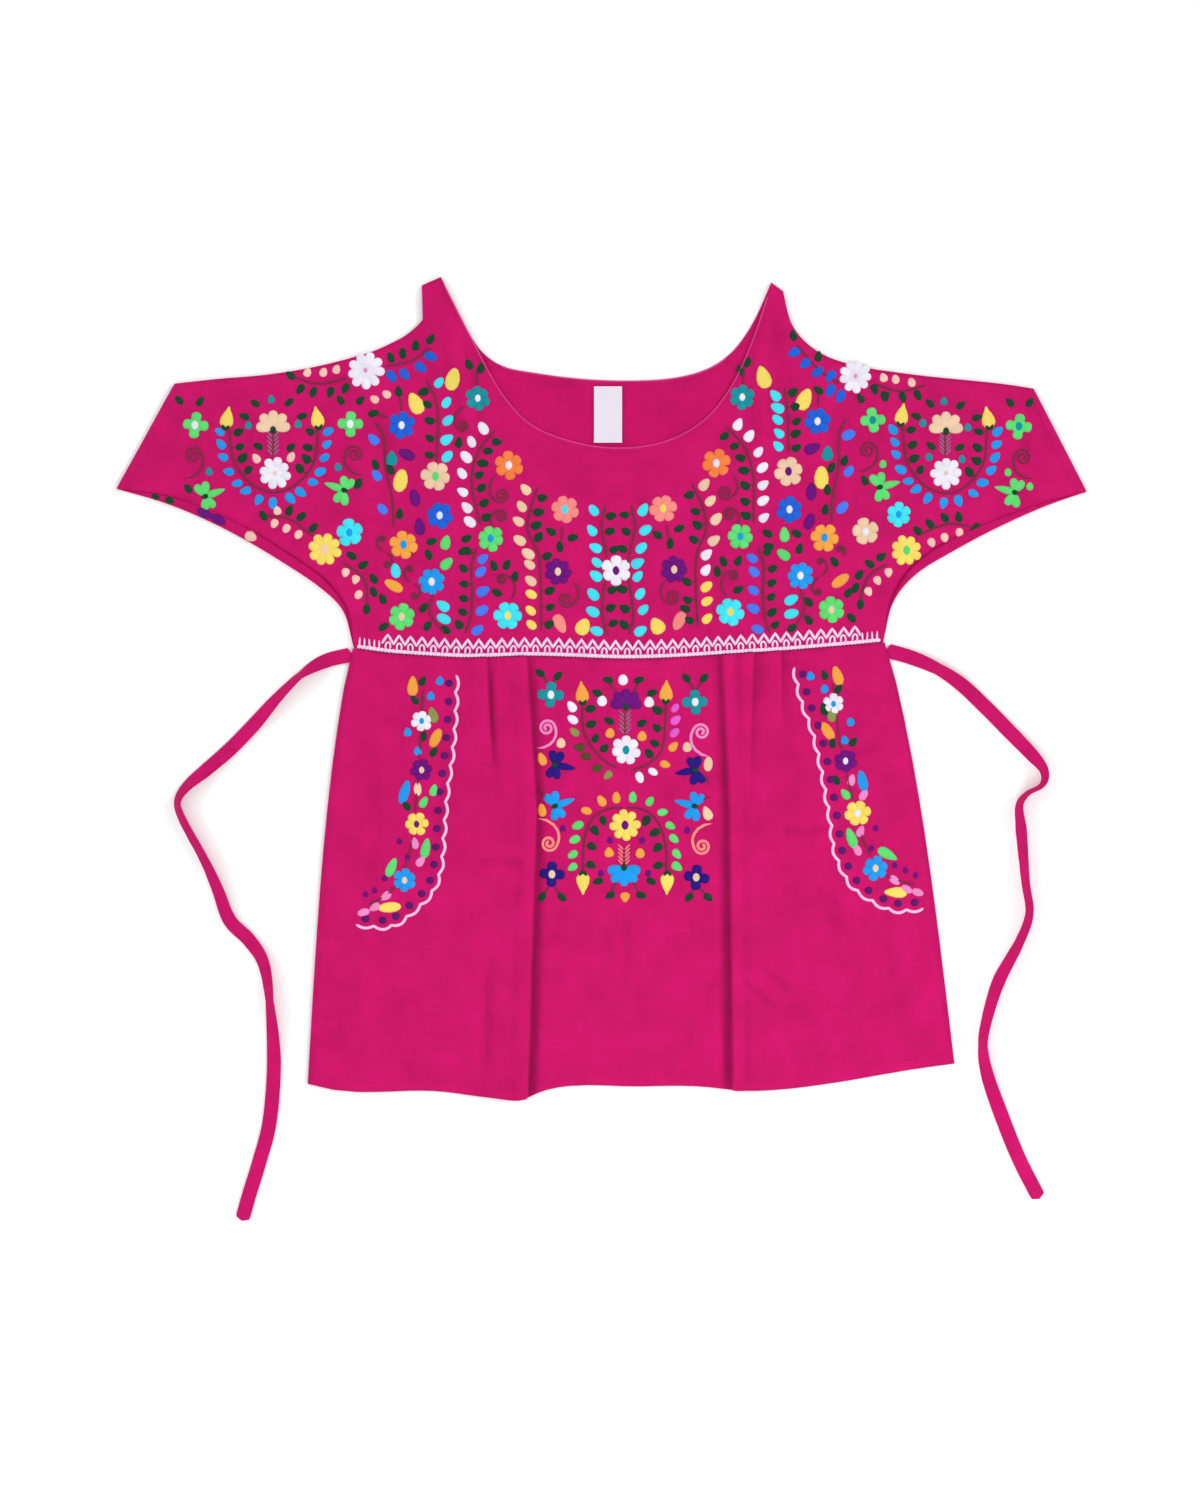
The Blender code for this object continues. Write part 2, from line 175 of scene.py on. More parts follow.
class ClothSettings(bpy.types.PropertyGroup):
    thickness: length_property("Thickness", "Thickness of the cotton with its seam layers", 0.9)
    weave_pitch: length_property("Weave pitch", "Distance from one woven thread to the next", 0.55)
    neck_hem: length_property("Neck hem", "Width of the turned hem round the neck", 4.0)
    sleeve_hem: length_property("Sleeve hem", "Width of the turned hem of each sleeve", 6.5)
    skirt_hem: length_property("Skirt hem", "Width of the turned hem of the skirt", 8.0)
    front_colour: colour_property("Front", "Colour of the front cloth", "#c30f63")
    back_colour: colour_property("Back", "Colour of the cloth's inner side at the back", "#c00e61")
    label_colour: colour_property("Label", "Colour of the woven label", "#ddd6e2")


class ThreadSettings(bpy.types.PropertyGroup):
    stitch_pitch: length_property("Stitch pitch", "Distance between satin stitches", 0.5)
    pad_height: length_property("Pad height", "How far the satin stitches stand up", 0.9)
    vine_width: length_property("Vine width", "Width of the stem-stitch lines", 1.7)
    braid: colour_property("Braid pink", "Waist braid", "#ffdcfa")
    hem_thread: colour_property("Hem thread", "Sewing thread of the hems", "#c4145f")
    # This lighter pink is a painted highlight along the folded neck edges.
    painted_neck_highlight: colour_property("Painted neck edge highlight", "Folded edge of the neck hem, which catches the light", "#de3e86")
    leaf_green: colour_property("Leaf green", "Most leaves, cups and hearts", "#0c4529")
    vine_brown: colour_property("Vine brown", "Stems and tendrils", "#7a2a42")
    lime: colour_property("Lime", "Light green petals and leaves", "#60e676")
    olive: colour_property("Olive", "Leaves on the skirt", "#8f9a50")
    dark_olive: colour_property("Dark olive", "Leaves on the skirt", "#5a4a2a")
    royal_blue: colour_property("Royal blue", "Flowers and leaves on the yoke", "#1565e0")
    azure: colour_property("Azure", "Bright blue flowers and leaves", "#18a0f8")
    sky: colour_property("Sky blue", "Light blue flowers and leaves", "#42ecff")
    teal: colour_property("Teal", "Blue-green flowers and dots", "#0699a6")
    periwinkle: colour_property("Periwinkle", "Leaves beside the yoke's vines", "#4680ff")
    purple: colour_property("Purple", "Purple flowers and leaves", "#6e0080")
    dark_purple: colour_property("Dark purple", "Dots inside the pocket shapes", "#5c0a6e")
    navy: colour_property("Navy", "Dark blue flowers and butterflies", "#200880")
    yellow: colour_property("Yellow", "Yellow flowers and buds", "#ffe468")
    amber: colour_property("Amber", "Light orange flowers and buds", "#ffab45")
    orange: colour_property("Orange", "Orange flowers", "#ff8644")
    coral: colour_property("Coral", "Coral flowers and tendrils", "#ff928a")
    cream: colour_property("Cream", "Beige flowers and leaves", "#f6d2b0")
    peach: colour_property("Peach", "Pale pink leaves", "#ffd0c0")
    white: colour_property("White", "White flowers and leaves", "#f6f2ff")
    pink: colour_property("Pink", "Tendrils and leaves", "#f890d0")
    pale_pink: colour_property("Pale pink", "Scallops of the pocket shapes", "#fac6ec")
    orchid: colour_property("Orchid", "Pinkish purple leaves", "#f060d8")
    silver: colour_property("Silver", "Grey stems", "#8a7a92")


class Guide(NamedTuple):
    """A line across the yoke from its lower edge to its upper edge, which the weave follows.

    sharp names the edge that has a corner there: low, top or both.
    """

    low: tuple
    top: tuple
    sharp: str = ""


YOKE_GUIDES = [
    Guide((-402.4, 130.4), (-356.0, 214.4), "both"),
    Guide((-313.6, 107.2), (-284.0, 221.3)),
    Guide((-262.4, 77.6), (-240.0, 228.6)),
    Guide((-232.0, 55.5), (-214.0, 235.2)),
    Guide((-213.6, 13.6), (-190.0, 243.2)),
    Guide((-212.8, 3.2), (-183.0, 246.6), "low"),
    Guide((-158.4, -2.8), (-158.4, 267.2)),
    Guide((-150.0, -3.3), (-158.4, 292.8), "top"),
    Guide((-136.0, -4.2), (-143.2, 299.6), "top"),
    Guide((-114.4, -4.6), (-114.4, 243.2)),
    Guide((-72.0, -3.3), (-72.0, 200.0)),
    Guide((0.0, -5.6), (0.0, 180.0)),
    Guide((68.0, -3.0), (68.0, 205.0)),
    Guide((105.6, -0.6), (105.6, 255.0)),
    Guide((126.0, 0.6), (120.8, 295.2), "top"),
    Guide((138.0, 1.5), (130.4, 288.0), "top"),
    Guide((160.0, 3.4), (138.4, 258.4)),
    Guide((210.4, 8.0), (178.0, 231.4), "low"),
    Guide((214.0, 37.0), (200.0, 226.4)),
    Guide((228.0, 64.8), (218.0, 223.8)),
    Guide((262.0, 89.0), (246.0, 220.2)),
    Guide((310.4, 109.6), (288.0, 216.1)),
    Guide((372.8, 128.0), (330.4, 210.4), "both"),
]
STRAP_LEFT = (-159.0, -142.0)
STRAP_RIGHT = (119.0, 131.5)
STRAP_FOOT = 270.0
STRAP_LEAN = ((-158.4, 267.2), (3.8, 1.6), 20.0)
WAIST_CORNERS = ((-213.5, 1.0), (211.4, 7.0))
HEM_CORNERS = ((-249.6, -345.2), (267.2, -329.0))


class Swell(NamedTuple):
    """A low, soft rise of the front yoke, the same on both sides of the neck."""

    height: float
    away: float
    y: float
    half_width: float
    half_height: float


NECK_MIDDLE = -5.0
YOKE_SWELLS = [Swell(2.2, 250.0, 160.0, 120.0, 75.0), Swell(2.0, 92.0, 110.0, 80.0, 88.0)]


class Pleat(NamedTuple):
    """A pleat that opens downwards from the waist seam.

    steep is the side with the folded edge: 1 for +X, -1 for -X. reach is how far down it runs,
    as a share of the skirt, and the heights are those of its crest at the waist and at its end.
    """

    waist_x: float
    middle_x: float
    hem_x: float
    steep: int
    reach: float
    waist_height: float
    end_height: float
    soft_width: float
    steep_width: float


PLEATS = [
    Pleat(-108.0, -101.0, -96.0, 1, 0.34, 2.6, 0.0, 20.0, 2.2),
    Pleat(-76.0, -68.0, -75.0, 1, 1.0, 3.2, 4.8, 62.0, 2.4),
    Pleat(83.0, 88.5, 91.0, -1, 1.0, 2.6, 4.4, 56.0, 2.4),
    Pleat(105.0, 101.5, 98.0, 1, 0.36, 2.8, 0.0, 9.0, 2.2),
    Pleat(127.0, 130.0, 132.0, 1, 0.2, 2.6, 0.0, 14.0, 2.2),
]
PLEAT_MIDDLE = 0.35
PLEAT_SOFT_SHARE = 0.55
PLEAT_RIDGE_SHARE = 0.45
PLEAT_RIDGE_WIDTH = 13.0
PLEAT_DIP = 0.3
PLEAT_DIP_AWAY = 5.0
PLEAT_DIP_WIDTH = 9.0
PLEAT_STOPS = (-16.0, -10.0, -6.0, -3.2, -1.5, -0.5, 0.0, 0.5, 1.0, 1.5, 2.1, 2.9, 4.2, 6.5, 9.5)
LEAST_COLUMN = 0.9


class Crease(NamedTuple):
    """A soft ridge, or a trough where height is below zero, which fades out at both ends.

    left and right are how far it reaches to each side of its line, seen along the line.
    """

    line: tuple
    height: float
    left: float
    right: float


SKIRT_CREASES = [
    Crease(((-104.0, -8.0), (-103.0, -50.0), (-99.0, -96.0)), -0.8, 5.0, 5.0),
    Crease(((-124.0, -170.0), (-96.0, -166.0), (-74.0, -170.0)), -0.7, 7.0, 12.0),
    Crease(((-102.0, -226.0), (-106.0, -290.0), (-108.0, -352.0)), -0.9, 12.0, 9.0),
    Crease(((-128.0, -30.0), (-134.0, -90.0), (-150.0, -170.0)), -0.6, 14.0, 12.0),
    Crease(((-196.0, -60.0), (-182.0, -130.0), (-188.0, -210.0)), 0.7, 18.0, 14.0),
    Crease(((-228.0, -180.0), (-200.0, -240.0), (-190.0, -320.0)), 0.8, 16.0, 22.0),
    Crease(((-205.0, -14.0), (-190.0, -40.0), (-168.0, -58.0)), 0.5, 9.0, 9.0),
    Crease(((-4.0, -198.0), (-2.0, -240.0), (-5.0, -282.0)), 0.5, 7.0, 7.0),
    Crease(((-60.0, -20.0), (20.0, -18.5), (88.0, -20.0)), 0.3, 3.0, 3.0),
    Crease(((20.0, -60.0), (28.0, -130.0), (20.0, -190.0)), 0.4, 14.0, 14.0),
    Crease(((-40.0, -300.0), (10.0, -312.0), (60.0, -302.0)), 0.4, 14.0, 10.0),
    Crease(((163.0, -96.0), (184.0, -76.0), (210.0, -62.0)), 1.0, 12.0, 8.0),
    Crease(((124.0, -141.0), (146.0, -144.0), (170.0, -139.0)), -0.8, 7.0, 9.0),
    Crease(((98.0, -254.0), (116.0, -266.0), (136.0, -284.0)), 1.1, 11.0, 8.0),
    Crease(((150.0, -170.0), (176.0, -220.0), (196.0, -300.0)), -0.7, 16.0, 16.0),
    Crease(((232.0, -150.0), (226.0, -220.0), (244.0, -300.0)), 0.8, 18.0, 14.0),
    Crease(((186.0, -14.0), (178.0, -50.0), (160.0, -70.0)), 0.5, 10.0, 10.0),
]
SKIRT_BACK_CREASES = [
    Crease(((-92.0, -10.0), (-86.0, -160.0), (-90.0, -345.0)), 0.55, 10.0, 4.0),
    Crease(((96.0, -6.0), (90.0, -150.0), (98.0, -340.0)), 0.55, 4.0, 10.0),
    Crease(((-180.0, -60.0), (-150.0, -190.0), (-170.0, -330.0)), 0.4, 16.0, 12.0),
    Crease(((170.0, -40.0), (190.0, -170.0), (180.0, -310.0)), 0.4, 12.0, 16.0),
    Crease(((-60.0, -210.0), (0.0, -226.0), (60.0, -214.0)), 0.35, 10.0, 12.0),
]
YOKE_CREASES = [
    Crease(((-196.0, 196.0), (-184.0, 150.0), (-196.0, 92.0)), -0.5, 12.0, 10.0),
    Crease(((-222.0, 214.0), (-230.0, 160.0), (-216.0, 104.0)), 0.6, 12.0, 12.0),
    Crease(((-330.0, 200.0), (-345.0, 172.0), (-352.0, 142.0)), 0.5, 9.0, 12.0),
    Crease(((-302.0, 210.0), (-296.0, 160.0), (-304.0, 120.0)), -0.5, 10.0, 14.0),
    Crease(((-140.0, 268.0), (-124.0, 214.0), (-118.0, 160.0)), 0.7, 8.0, 8.0),
    Crease(((118.0, 270.0), (112.0, 214.0), (118.0, 150.0)), 0.7, 8.0, 8.0),
    Crease(((178.0, 210.0), (170.0, 150.0), (184.0, 84.0)), -0.5, 11.0, 11.0),
    Crease(((212.0, 208.0), (216.0, 158.0), (206.0, 104.0)), 0.6, 12.0, 12.0),
    Crease(((318.0, 198.0), (330.0, 172.0), (338.0, 138.0)), 0.5, 12.0, 9.0),
    Crease(((284.0, 206.0), (278.0, 160.0), (286.0, 116.0)), -0.5, 14.0, 10.0),
    Crease(((-60.0, 148.0), (-10.0, 136.0), (52.0, 150.0)), 0.5, 9.0, 14.0),
    Crease(((-24.0, 150.0), (-18.0, 90.0), (-26.0, 20.0)), -0.35, 12.0, 12.0),
    Crease(((22.0, 148.0), (14.0, 90.0), (24.0, 24.0)), -0.35, 12.0, 12.0),
    Crease(((-150.0, 12.0), (-90.0, 20.0), (-30.0, 12.0)), 0.35, 8.0, 8.0),
    Crease(((34.0, 14.0), (90.0, 22.0), (150.0, 16.0)), 0.35, 8.0, 8.0),
]
YOKE_BACK_CREASES = [
    Crease(((-60.0, 200.0), (-30.0, 120.0), (-44.0, 20.0)), 0.4, 12.0, 12.0),
    Crease(((70.0, 200.0), (46.0, 110.0), (60.0, 16.0)), 0.4, 12.0, 12.0),
    Crease(((-240.0, 210.0), (-226.0, 150.0), (-240.0, 90.0)), 0.45, 12.0, 9.0),
    Crease(((226.0, 210.0), (214.0, 150.0), (230.0, 96.0)), 0.45, 9.0, 12.0),
    Crease(((-330.0, 196.0), (-340.0, 160.0), (-352.0, 132.0)), 0.35, 9.0, 9.0),
]


def smooth(share):
    """Rises softly from 0 to 1 as share does."""
    share = min(max(share, 0.0), 1.0)
    return share * share * (3.0 - 2.0 * share)


def bump(share):
    """Falls softly from 1 at share 0 to 0 at share 1 and beyond."""
    return 1.0 - smooth(abs(share))


def interpolate(position, known, values):
    """Straight-line interpolation of values given at rising known positions."""
    index = min(max(bisect(known, position) - 1, 0), len(known) - 2)
    share = (position - known[index]) / (known[index + 1] - known[index])
    return values[index] + share * (values[index + 1] - values[index])


def direction(angle):
    return Vector((math.cos(angle), math.sin(angle)))


def turn_of(heading):
    return math.atan2(heading.y, heading.x)


def left_of(heading):
    return Vector((-heading.y, heading.x))


class Line:
    """A bent line of points in millimetres, read by the distance along it."""

    def __init__(self, points):
        self.points = [Vector(point) for point in points]
        steps = [(b - a).length for a, b in zip(self.points, self.points[1:])]
        self.marks = list(accumulate(steps, initial=0.0))
        self.length = self.marks[-1]

    def at(self, mark):
        index = min(max(bisect(self.marks, mark) - 1, 0), len(self.points) - 2)
        span = self.marks[index + 1] - self.marks[index]
        share = min(max((mark - self.marks[index]) / span, 0.0), 1.0)
        return self.points[index].lerp(self.points[index + 1], share)

    def heading(self, mark):
        """Direction of the line at a distance along it."""
        return (self.at(mark + 1.0) - self.at(mark - 1.0)).normalized()

    def nearest(self, place):
        """How far along the line its nearest point to a place is, how far off that is, and its side."""
        place = Vector(place)
        best = (0.0, math.inf, 1.0)
        for index, (start, end) in enumerate(zip(self.points, self.points[1:])):
            run = end - start
            share = min(max((place - start).dot(run) / run.length_squared, 0.0), 1.0)
            off = place - start - run * share
            if off.length < best[1]:
                side = 1.0 if run.x * off.y - run.y * off.x > 0 else -1.0
                best = (self.marks[index] + run.length * share, off.length, side)
        return best


def curve_points(points, step):
    """A soft curve through a few points, as many points about one step apart."""
    points = [Vector(point) for point in points]
    padded = [points[0] * 2 - points[1], *points, points[-1] * 2 - points[-2]]
    result = []
    for before, start, end, after in zip(padded, padded[1:], padded[2:], padded[3:]):
        count = max(1, math.ceil((end - start).length / step))
        for index in range(count):
            t = index / count
            leave, arrive = (end - before) / 2, (after - start) / 2
            result.append(
                start * (2 * t**3 - 3 * t**2 + 1) + end * (3 * t**2 - 2 * t**3)
                + leave * (t**3 - 2 * t**2 + t) + arrive * (t**3 - t**2)
            )
    return result + [points[-1]]


class Folds:
    """Reads the height that a list of creases adds at a place."""

    def __init__(self, creases):
        self.creases = []
        for crease in creases:
            line = Line(curve_points(crease.line, CREASE_STEP))
            reach = max(crease.left, crease.right)
            xs, ys = zip(*line.points)
            box = (min(xs) - reach, max(xs) + reach, min(ys) - reach, max(ys) + reach)
            self.creases.append((crease, line, box))

    def height(self, place):
        total = 0.0
        for crease, line, (least_x, most_x, least_y, most_y) in self.creases:
            if not (least_x < place.x < most_x and least_y < place.y < most_y):
                continue
            mark, off, side = line.nearest(place)
            width = crease.left if side > 0 else crease.right
            fade = line.length * FOLD_FADE
            ends = smooth(mark / fade) * smooth((line.length - mark) / fade)
            total += crease.height * FOLD_STRENGTH * bump(off / width) * ends
        return total


def flutter(place, seed):
    """Small uneven waves that cotton keeps however well it's laid out."""
    total = 0.0
    for wave in FLUTTER:
        spot = Vector((place.x / wave.x_length, place.y / wave.y_length, seed + wave.seed))
        total += wave.height * noise.noise(spot)
    return total


def outline(node):
    """Corners of a CAD panel's underside in millimetres, anticlockwise seen from above."""
    mesh = bmesh.new()
    mesh.from_mesh(frame["nodes"][node].data)
    bmesh.ops.remove_doubles(mesh, verts=mesh.verts, dist=MERGE_DISTANCE)
    upper = [face for face in mesh.faces if face.normal.z > FACES_DOWN]
    bmesh.ops.delete(mesh, geom=upper, context="FACES")
    edge = next(edge for edge in mesh.edges if edge.is_boundary)
    first, corner = edge.verts
    loop = [first.co.xy / MM]
    while corner != first:
        loop.append(corner.co.xy / MM)
        edge = next(other for other in corner.link_edges if other.is_boundary and other != edge)
        corner = edge.other_vert(corner)
    mesh.free()
    area = sum(a.x * b.y - b.x * a.y for a, b in zip(loop, loop[1:] + loop[:1]))
    return loop if area > 0 else loop[::-1]


def stretch(loop, start, end):
    """The part of a closed outline that runs anticlockwise between the corners nearest two points."""
    first, last = (
        min(range(len(loop)), key=lambda index: (loop[index] - Vector(place)).length)
        for place in (start, end)
    )
    return Line([loop[(first + step) % len(loop)] for step in range((last - first) % len(loop) + 1)])


def relaxed(points, pinned):
    """Points with the corners between straight runs taken off, apart from the pinned ones."""
    last = len(points) - 1
    for _ in range(OUTLINE_PASSES):
        points = [
            point if index in pinned or not PINNED_ENDS < index < last - PINNED_ENDS
            else (points[index - 1] + point * 2 + points[index + 1]) / 4
            for index, point in enumerate(points)
        ]
    return points


def spread(length, inner):
    """Distances across a panel, closer together at both edges."""
    first, last = EDGE_ROWS[-1], length - EDGE_ROWS[-1]
    middle = [first + (last - first) * (step + 1) / (inner + 1) for step in range(inner)]
    return [*EDGE_ROWS, *middle, *(length - row for row in reversed(EDGE_ROWS))]


class Place(NamedTuple):
    """A point of a panel with its distances from the lower, upper and nearer end edge."""

    xy: Vector
    low: float
    top: float
    end: float


def yoke_edges(node):
    """Matching points along a yoke's lower and upper edges, from the left hem to the right one."""
    loop = outline(node)
    low = stretch(loop, YOKE_GUIDES[0].low, YOKE_GUIDES[-1].low)
    top = Line(stretch(loop, YOKE_GUIDES[-1].top, YOKE_GUIDES[0].top).points[::-1])
    low_marks = [low.nearest(guide.low)[0] for guide in YOKE_GUIDES]
    top_marks = [top.nearest(guide.top)[0] for guide in YOKE_GUIDES]
    lows, tops, pins = [], [], {"low": set(), "top": set()}
    for index, guide in enumerate(YOKE_GUIDES[:-1]):
        spans = (low_marks[index + 1] - low_marks[index], top_marks[index + 1] - top_marks[index])
        count = max(2, math.ceil(max(spans) / COLUMN_STEP))
        shares = [step / count for step in range(count)]
        near = [row / max(spans) for row in EDGE_ROWS]
        clear = near[-1] * END_COLUMNS_APART
        if index == 0:
            shares = near + [share for share in shares if share > clear]
        if index == len(YOKE_GUIDES) - 2:
            shares = [share for share in shares if share < 1 - clear] + [1 - share for share in near[:0:-1]]
        for edge in pins:
            if guide.sharp in (edge, "both"):
                pins[edge].add(len(lows))
        lows += [low.at(low_marks[index] + spans[0] * share) for share in shares]
        tops += [top.at(top_marks[index] + spans[1] * share) for share in shares]
    lows.append(low.at(low_marks[-1]))
    tops.append(top.at(top_marks[-1]))
    foot, move, reach = STRAP_LEAN
    tops = [point + Vector(move) * bump((point - Vector(foot)).length / reach) for point in tops]
    return relaxed(lows, pins["low"]), relaxed(tops, pins["top"])


def end_distance(low, top, lows, tops):
    """How far a column is from the nearer end of its panel."""
    return min(((low - lows[end]).length + (top - tops[end]).length) / 2 for end in (0, -1))


def yoke_places(node):
    """Columns of places over a yoke panel."""
    lows, tops = yoke_edges(node)
    columns = []
    for low, top in zip(lows, tops):
        length = (top - low).length
        end = end_distance(low, top, lows, tops)
        rows = spread(length, YOKE_INNER_ROWS)
        columns.append([Place(low.lerp(top, row / length), row, length - row, end) for row in rows])
    return columns


def on_strap(place):
    return place.y > STRAP_FOOT and (
        STRAP_LEFT[0] < place.x < STRAP_LEFT[1] or STRAP_RIGHT[0] < place.x < STRAP_RIGHT[1]
    )


def edge_drop(away, turn):
    """How much lower the cloth lies near an edge that it turns down at."""
    return turn.drop * bump(away / turn.reach)


def hem_form(away, width):
    """The raised band of a turned hem, with the groove of its stitching."""
    band = HEM_BAND * bump((away - width / 2) / (width * HEM_BAND_SPREAD))
    return band - HEM_GROOVE * bump((away - width) / HEM_GROOVE_WIDTH)


def yoke_relief(place):
    return sum(
        rise.height
        * bump_cosine(abs(abs(place.x - NECK_MIDDLE) - rise.away) / rise.half_width)
        * bump_cosine(abs(place.y - rise.y) / rise.half_height)
        for rise in YOKE_SWELLS
    )


def bump_cosine(share):
    return 0.5 + 0.5 * math.cos(math.pi * min(share, 1.0))


def sheet_mesh(name, columns):
    """A closed sheet of cloth from columns of points (place, underside, top)."""
    mesh = bmesh.new()
    bmesh.ops.create_grid(mesh, x_segments=len(columns) - 1, y_segments=len(columns[0]) - 1, size=1.0)
    ordered = sorted(mesh.verts, key=lambda vert: (round(vert.co.x, 6), vert.co.y))
    tops = {}
    for vert, (place, underside, top) in zip(ordered, (point for column in columns for point in column)):
        vert.co = (place.x * MM, place.y * MM, underside * MM)
        tops[vert.co.xy.freeze()] = top * MM
    raised = bmesh.ops.extrude_face_region(mesh, geom=mesh.faces[:])
    for item in raised["geom"]:
        if isinstance(item, bmesh.types.BMVert):
            item.co.z = tops[item.co.xy.freeze()]
    return finished(name, mesh)


def finished(name, mesh, sharp=55.0):
    """Turns a bmesh into an object with its faces outwards."""
    bmesh.ops.recalc_face_normals(mesh, faces=mesh.faces)
    data = bpy.data.meshes.new(name)
    mesh.to_mesh(data)
    mesh.free()
    data.shade_smooth()
    data.set_sharp_from_angle(angle=math.radians(sharp))
    piece = bpy.data.objects.new(name, data)
    bpy.context.scene.collection.objects.link(piece)
    return piece


class Surface:
    """Finds the upper side of the pieces that a stitch is worked on."""

    def __init__(self, *names):
        mesh = bmesh.new()
        for name in names:
            mesh.from_mesh(bpy.data.objects[name].data)
        self.tree = BVHTree.FromBMesh(mesh)
        mesh.free()

    def height(self, x, y, least):
        hit = self.tree.ray_cast(Vector((x * MM, y * MM, RAY_START)), Vector((0.0, 0.0, -1.0)))[0]
        return max(hit.z / MM, least) if hit else least


def mark_folds(piece):
    """Stores how deep each point of a cloth lies in a fold, 1 in a trough and -1 on a crest, as the mask of
    its painted shade and highlight.
    """
    surface = Surface(piece.name)
    depths = []
    for vert in piece.data.vertices:
        x, y = vert.co.xy / MM
        own = surface.height(x, y, 0.0)
        around = [
            surface.height(x + reach * math.cos(turn), y + reach * math.sin(turn), 0.0)
            for reach in FOLD_REACHES
            for turn in (step * math.tau / FOLD_TURNS for step in range(FOLD_TURNS))
        ]
        around = [max(height, own - FOLD_FLOOR) if height > 0.0 else own for height in around]
        depth = (sum(around) / len(around) - own) / FOLD_FULL_DEPTH
        depths.append(min(max(depth, -1.0), 1.0))
    piece.data.attributes.new("fold_depth", "FLOAT", "POINT").data.foreach_set("value", depths)


def dress(piece, material, slot, *nodes):
    """Gives a piece its finish, fixes it to the body and hides the solids it stands for."""
    piece.data.materials.append(material)
    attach(piece, BODY)
    if nodes:
        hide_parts(*nodes)


def node_input(tree, node, name, value):
    """Sets an input of a shader node, or links it where the value is another node's output."""
    socket = node.inputs[name]
    if isinstance(value, bpy.types.NodeSocket):
        tree.links.new(value, socket)
    else:
        socket.default_value = value


def add_node(tree, kind, settings=None, **inputs):
    """A shader node with its settings and inputs; an input's name has _ for each space."""
    node = tree.nodes.new(kind)
    for key, value in (settings or {}).items():
        setattr(node, key, value)
    for key, value in inputs.items():
        name = int(key[1:]) if key[0] == "n" and key[1:].isdigit() else key.replace("_", " ")
        node_input(tree, node, name, value)
    return node


def math_node(tree, operation, first, second=0.0):
    return add_node(tree, "ShaderNodeMath", {"operation": operation}, n0=first, n1=second).outputs[0]


def vector_node(tree, operation, **inputs):
    return add_node(tree, "ShaderNodeVectorMath", {"operation": operation}, **inputs).outputs[0]


def noise_node(tree, output, **inputs):
    return add_node(tree, "ShaderNodeTexNoise", **inputs).outputs[output]


def new_group(name, inputs, outputs):
    """An empty shader node group with float, colour or vector sockets."""
    group = bpy.data.node_groups.new(name, "ShaderNodeTree")
    for label, kind, default in inputs:
        socket = group.interface.new_socket(name=label, in_out="INPUT", socket_type=f"NodeSocket{kind}")
        if default is not None:
            socket.default_value = default
    for label, kind in outputs:
        group.interface.new_socket(name=label, in_out="OUTPUT", socket_type=f"NodeSocket{kind}")
    return group, group.nodes.new("NodeGroupInput"), group.nodes.new("NodeGroupOutput")


def group_node(tree, name, make, **inputs):
    """A node that holds a shared group, which is made the first time it's asked for."""
    node = tree.nodes.new("ShaderNodeGroup")
    node.node_tree = bpy.data.node_groups.get(name) or make(name)
    for key, value in inputs.items():
        node_input(tree, node, key.replace("_", " "), value)
    return node


def make_weave(name):
    """Plain weave of uneven cotton threads: its height, and a shade for thick and thin threads."""
    group, entry, exit_node = new_group(
        name,
        [("Place", "Vector", None), ("Pitch", "Float", 0.0006)],
        [("Height", "Float"), ("Shade", "Float")],
    )
    density = math_node(group, "DIVIDE", 1.0, entry.outputs["Pitch"])
    scaled = vector_node(group, "SCALE", Vector=entry.outputs["Place"], Scale=density)
    wobble = noise_node(group, "Color", Vector=scaled, Scale=0.35, Detail=2.0)
    shift = vector_node(group, "SCALE", Vector=wobble, Scale=0.7)
    place = vector_node(group, "ADD", n0=scaled, n1=shift)
    parts = add_node(group, "ShaderNodeSeparateXYZ", Vector=place)
    rounds = []
    for axis in ("X", "Y"):
        angle = math_node(group, "MULTIPLY", parts.outputs[axis], math.pi)
        rounds.append(math_node(group, "ABSOLUTE", math_node(group, "SINE", angle)))
    checks = add_node(group, "ShaderNodeTexChecker", Vector=place, Scale=1.0).outputs["Fac"]
    height = add_node(group, "ShaderNodeMix", n0=checks, n2=rounds[0], n3=rounds[1]).outputs[0]
    slubs = []
    for stretch_by in ((0.05, 0.9, 1.0), (0.9, 0.05, 1.0)):
        along = add_node(group, "ShaderNodeMapping", Vector=place, Scale=stretch_by).outputs[0]
        slubs.append(noise_node(group, "Fac", Vector=along, Scale=0.6, Detail=3.0))
    slub = math_node(group, "ADD", slubs[0], slubs[1])
    raised = math_node(group, "ADD", height, math_node(group, "MULTIPLY", slub, 0.8))
    group.links.new(raised, exit_node.inputs["Height"])
    shade = math_node(group, "MULTIPLY", slub, 0.5)
    group.links.new(shade, exit_node.inputs["Shade"])
    return group


def make_mottle(name):
    """Soft patches of lighter and darker dye."""
    group, entry, exit_node = new_group(
        name,
        [
            ("Place", "Vector", None),
            ("Colour", "Color", None),
            ("Patch", "Float", 0.03),
            ("Amount", "Float", 0.1),
            ("Shade", "Float", 0.5),
        ],
        [("Colour", "Color")],
    )
    scale = math_node(group, "DIVIDE", 1.0, entry.outputs["Patch"])
    patches = noise_node(group, "Fac", Vector=entry.outputs["Place"], Scale=scale, Detail=4.0, Roughness=0.6)
    both = math_node(group, "ADD", patches, entry.outputs["Shade"])
    signed = math_node(group, "MULTIPLY", math_node(group, "SUBTRACT", both, 1.0), entry.outputs["Amount"])
    value = math_node(group, "ADD", 1.0, signed)
    result = add_node(group, "ShaderNodeHueSaturation", Color=entry.outputs["Colour"], Value=value).outputs[0]
    group.links.new(result, exit_node.inputs["Colour"])
    return group


